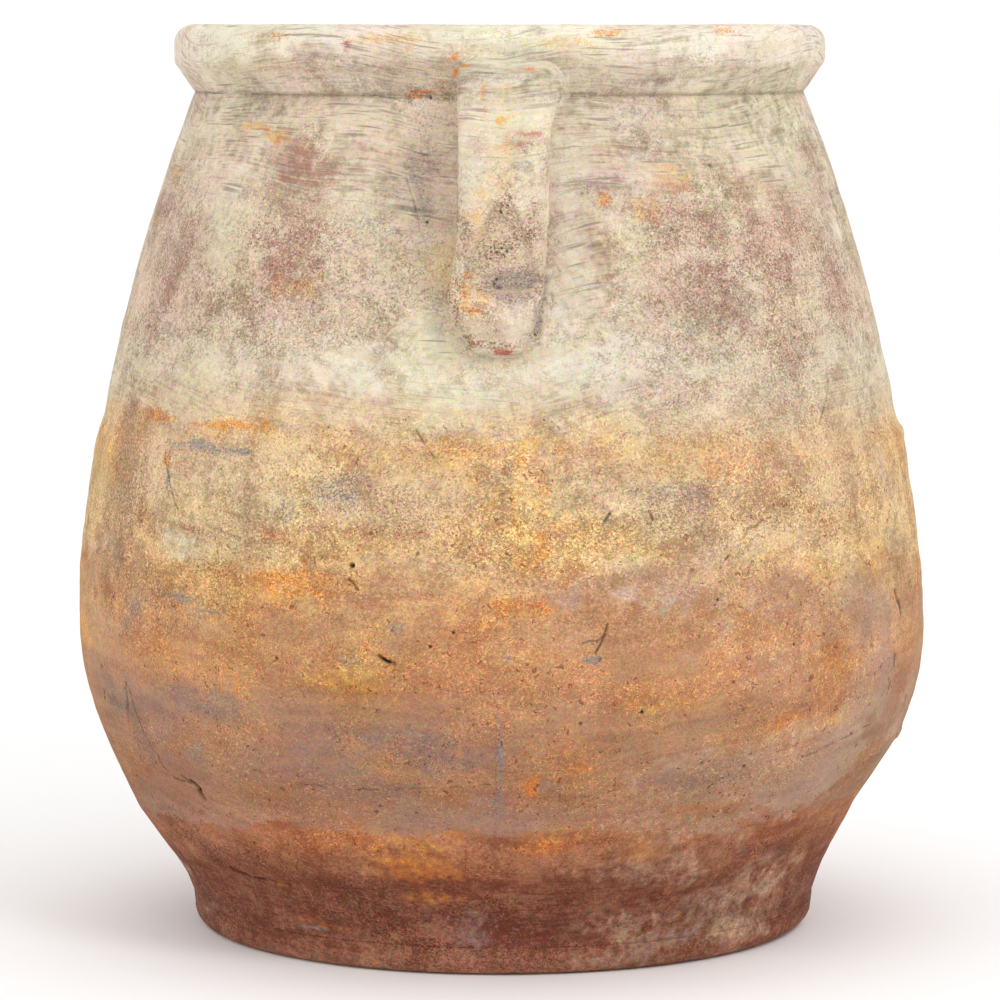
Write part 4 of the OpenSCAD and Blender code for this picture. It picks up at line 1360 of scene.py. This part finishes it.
def wash_left(n, pattern, stored, grit, contrast):
    """1 where the wash still covers the clay, 0 where it has worn off."""
    speckled = n.product(n.spread(pattern.speck, 0.5, 3.4 * contrast), grit)
    brushed = n.product(n.spread(pattern.bristle, 0.5, 2.8), stored["brush"])
    blotches = n.total(n.spread(pattern.clump, 0.5, 1.5), n.spread(pattern.patch, 0.5, 1.8))
    blotches = n.product(blotches, n.ramp(stored["grain"], 0.0, 1.1))
    height = n.total(speckled, brushed, blotches, n.spread(pattern.stroke, 0.5, 0.8),
                     n.spread(stored["cover"], 0.5, 1.3), 0.5)
    return n.ramp(height, -0.08, 1.08)


def stained_layers(n, pattern, coat):
    """The colour of clay and wash, each pulled towards its stain, whose edge the grain breaks up."""
    speck, clump = n.spread(pattern.speck, 0.5, -2.4), n.spread(pattern.clump, 0.5, 1.6)
    edge = n.total(n.attribute("stain"), speck, clump)
    stain = n.product(n.ramp(edge, 0.12, 1.02), 0.92)
    clay = n.mix(stain, n.attribute("clay", "Color"), n.attribute("stain_clay", "Color"))
    clay = n.tinted(clay, n.ramp(pattern.clump, 0.4, 0.65), (0.86, 0.82, 0.80))
    wash = n.mix(stain, n.attribute("wash", "Color"), n.attribute("stain_wash", "Color"))
    wash = n.tinted(wash, n.ramp(pattern.stroke, 0.42, 0.68), (0.92, 0.89, 0.84))
    return n.mix(coat, clay, wash)


def small_marks(n, pattern, stored, grit, colour):
    """Bristle lines, orange and pale flecks, brown crumbs, soot and dust, one after the other."""
    brush, fleck = stored["brush"], stored["fleck"]
    thin = n.product(grit, n.ramp(stored["cover"], 1.0, 0.5), n.ramp(fleck, 0.6, 0.1))
    banded = n.ramp(fleck, 0.1, 0.5)
    # The pattern, where it starts and is full, the places it lies in, its strength and its tint
    marks = [
        (pattern.bristle, 0.56, 0.66, brush, 0.8, (0.42, 0.39, 0.40)),
        (pattern.bristle, 0.46, 0.38, brush, 0.8, (1.14, 1.14, 1.15)),
        (pattern.flecks, 0.57, 0.63, fleck, 0.8, (1.04, 0.72, 0.36)),
        (pattern.flecks, 0.42, 0.37, fleck, 0.95, (1.75, 1.62, 1.15)),
        (pattern.crumbs, 0.57, 0.62, thin, 1.0, (0.66, 0.53, 0.50)),
        (pattern.crumbs, 0.47, 0.41, thin, 1.0, (1.16, 1.16, 1.14)),
        (pattern.soot, 0.67, 0.71, banded, 0.75, (0.30, 0.26, 0.26)),
        (pattern.dust, 0.56, 0.75, 1.0, 0.4, (0.62, 0.55, 0.50)),
    ]
    for noise_value, start, full, places, strength, tint in marks:
        colour = n.tinted(colour, n.product(n.ramp(noise_value, start, full), places, strength), tint)
    return colour


def clay_material(name, grain=1.0, contrast=1.0, stroke_size=1.0):
    """Worn wash over clay. The layers come from the points, and the fine structure from noise."""
    n = Nodes(name)
    pattern = clay_patterns(n, n.add("ShaderNodeTexCoord", "Object"), grain, stroke_size)
    stored = {key: n.attribute(key) for key in ("cover", "brush", "fleck", "grain")}
    grit = n.product(stored["grain"], n.math("SUBTRACT", 1.1, stored["brush"]))
    coat = wash_left(n, pattern, stored, grit, contrast)
    colour = stained_layers(n, pattern, coat)
    colour = n.mix(0.30 * contrast, colour, n.mix(1.0, colour, pattern.hues, "OVERLAY"))
    colour = small_marks(n, pattern, stored, grit, colour)
    # Darker pits, cracks and seam edges, and painted shade in the creases under the rim and round the
    # handles
    colour = n.mix(n.attribute("dark"), colour, DIRT_AND_SHADE)
    n.put(n.shader.inputs["Base Color"], colour)
    n.put(n.shader.inputs["Roughness"], n.total(ROUGHNESS, n.spread(pattern.speck, 0.5, 0.25)))
    n.put(n.shader.inputs["Specular IOR Level"], SPECULAR)
    relief = n.total(
        n.product(coat, 0.45), n.product(pattern.speck, 0.8), n.product(pattern.dust, 0.25),
        n.product(pattern.bristle, stored["brush"], 1.6), n.product(pattern.clump, 0.7))
    bumps = n.add("ShaderNodeBump", 0, (), Strength=0.7, Distance=RELIEF_DEPTH, Height=relief)
    n.put(n.shader.inputs["Normal"], bumps)
    return n.material


MATERIALS = {
    "banded_wall_clay": clay_material("banded_wall_clay"),
    "seam_clay": clay_material("seam_clay"),
    "foot_clay": clay_material("foot_clay", contrast=1.6, stroke_size=0.35),
    "limewashed_rim_clay": clay_material("limewashed_rim_clay", contrast=0.9),
    "limewashed_handle_clay": clay_material("limewashed_handle_clay", contrast=1.0),
    "raw_inner_clay": clay_material("raw_inner_clay", grain=1.4, contrast=0.8),
}


# ---- Making the pieces ----

def finish_piece(obj, slot, *nodes):
    """Paint, material, body and the CAD nodes that the piece stands for."""
    paint(obj, rawness(obj))
    obj.data.materials.append(MATERIALS[slot])
    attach(obj, "root")
    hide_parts(*nodes)


def wall_relief(points):
    """Outside relief on the outer face, and finger ridges on the inner one."""
    near_outside = off_side(points) > -WALL_T / 2
    return np.where(near_outside, outer_relief(points), inner_relief(points))


for side, word in ((-1, "left"), (1, "right")):
    half = wall_half(f"body_half_{word}_clay", side)
    refine_near_marks(half)
    raise_surface(half, wall_relief)
    finish_piece(half, "banded_wall_clay", f"body_half_{word}")

for turn, word in ((0, "front"), (180, "rear")):
    seam = strip(f"{word}_seam_strip_clay", turn, STRIP_HALF, BAND_TOP, NECK_Z, 0, STRIP_T, 1.2)
    raise_surface(seam, outer_relief)
    finish_piece(seam, "seam_clay", f"{word}_seam_strip")
    coil = strip(f"{word}_inner_seam_coil_clay", turn, COIL_HALF, CORNER_TOP, NECK_Z,
                 WALL_T - 0.5, WALL_T + COIL_T, 3)
    raise_surface(coil, inner_relief)
    finish_piece(coil, "raw_inner_clay", f"{word}_inner_seam_coil")

    low, strap_shape, pad_shape = handle_fields(turn)
    strap = mesh_field(f"{word}_handle_clay", low, strap_shape, turn)
    finish_piece(strap, "limewashed_handle_clay", f"{word}_handle_strap", f"{word}_handle_upper_wad")
    pad = mesh_field(f"{word}_handle_pad_clay", low, pad_shape, turn)
    finish_piece(pad, "limewashed_handle_clay", f"{word}_handle_lower_pad")

rim = rim_roll()
refine_near_marks(rim)
raise_surface(rim, outer_relief)
finish_piece(rim, "limewashed_rim_clay", "rim_roll")

band = foot_band()
refine_near_marks(band)
raise_surface(band, outer_relief)
finish_piece(band, "foot_clay", "foot_band")

slab = floor_slab()
raise_surface(slab, outer_relief)
finish_piece(slab, "foot_clay", "floor_slab")

corner = corner_coil()
raise_surface(corner, inner_relief)
finish_piece(corner, "raw_inner_clay", "floor_corner_coil")


# ---- Floor, light and camera ----

FLOOR_HALF = 40000


def floor():
    """A pale studio floor that reaches past every view."""
    square = FLOOR_HALF * np.array([(-1, -1, 0), (1, -1, 0), (1, 1, 0), (-1, 1, 0)], float)
    plane = make_object("studio_floor", square, [(0, 1, 2, 3)])
    n = Nodes("pale_floor")
    n.put(n.shader.inputs["Base Color"], (0.97, 0.97, 0.97, 1))
    n.put(n.shader.inputs["Roughness"], 0.95)
    n.put(n.shader.inputs["Specular IOR Level"], 0.1)
    plane.data.materials.append(n.material)


def soft_light(name, place, aim, size, power):
    data = bpy.data.lights.new(name, "AREA")
    data.shape, data.size, data.energy = "DISK", size, power
    lamp = bpy.data.objects.new(name, data)
    lamp.location = place
    direction = np.array(aim) - place
    lamp.rotation_euler = Vector(direction).to_track_quat("-Z", "Y").to_euler()
    bpy.context.scene.collection.objects.link(lamp)


def studio():
    floor()
    world = bpy.data.worlds.new("studio")
    world.use_nodes = True
    world.node_tree.nodes["Background"].inputs["Color"].default_value = (1, 1, 1, 1)
    world.node_tree.nodes["Background"].inputs["Strength"].default_value = 1.04
    bpy.context.scene.world = world
    soft_light("key", (1.0, -1.7, 1.7), (0, 0, 0.25), 0.8, 13)
    soft_light("fill", (-1.6, -1.6, 0.9), (0, 0, 0.2), 1.4, 4)
    bpy.context.scene.view_settings.view_transform = "Standard"


def camera():
    """A long lens, level with the rim and a little to the left of the handle."""
    distance, height, turn, dip, lens = 2.1, 0.409, 0.7, 5.87, 165.6
    data = bpy.data.cameras.new("camera")
    data.lens = lens
    view = bpy.data.objects.new("camera", data)
    side = math.radians(turn)
    view.location = (-distance * math.sin(side), -distance * math.cos(side), height)
    view.rotation_euler = (math.radians(90 - dip), 0, -side)
    data.clip_end = 200
    bpy.context.scene.collection.objects.link(view)
    bpy.context.scene.camera = view


studio()
camera()
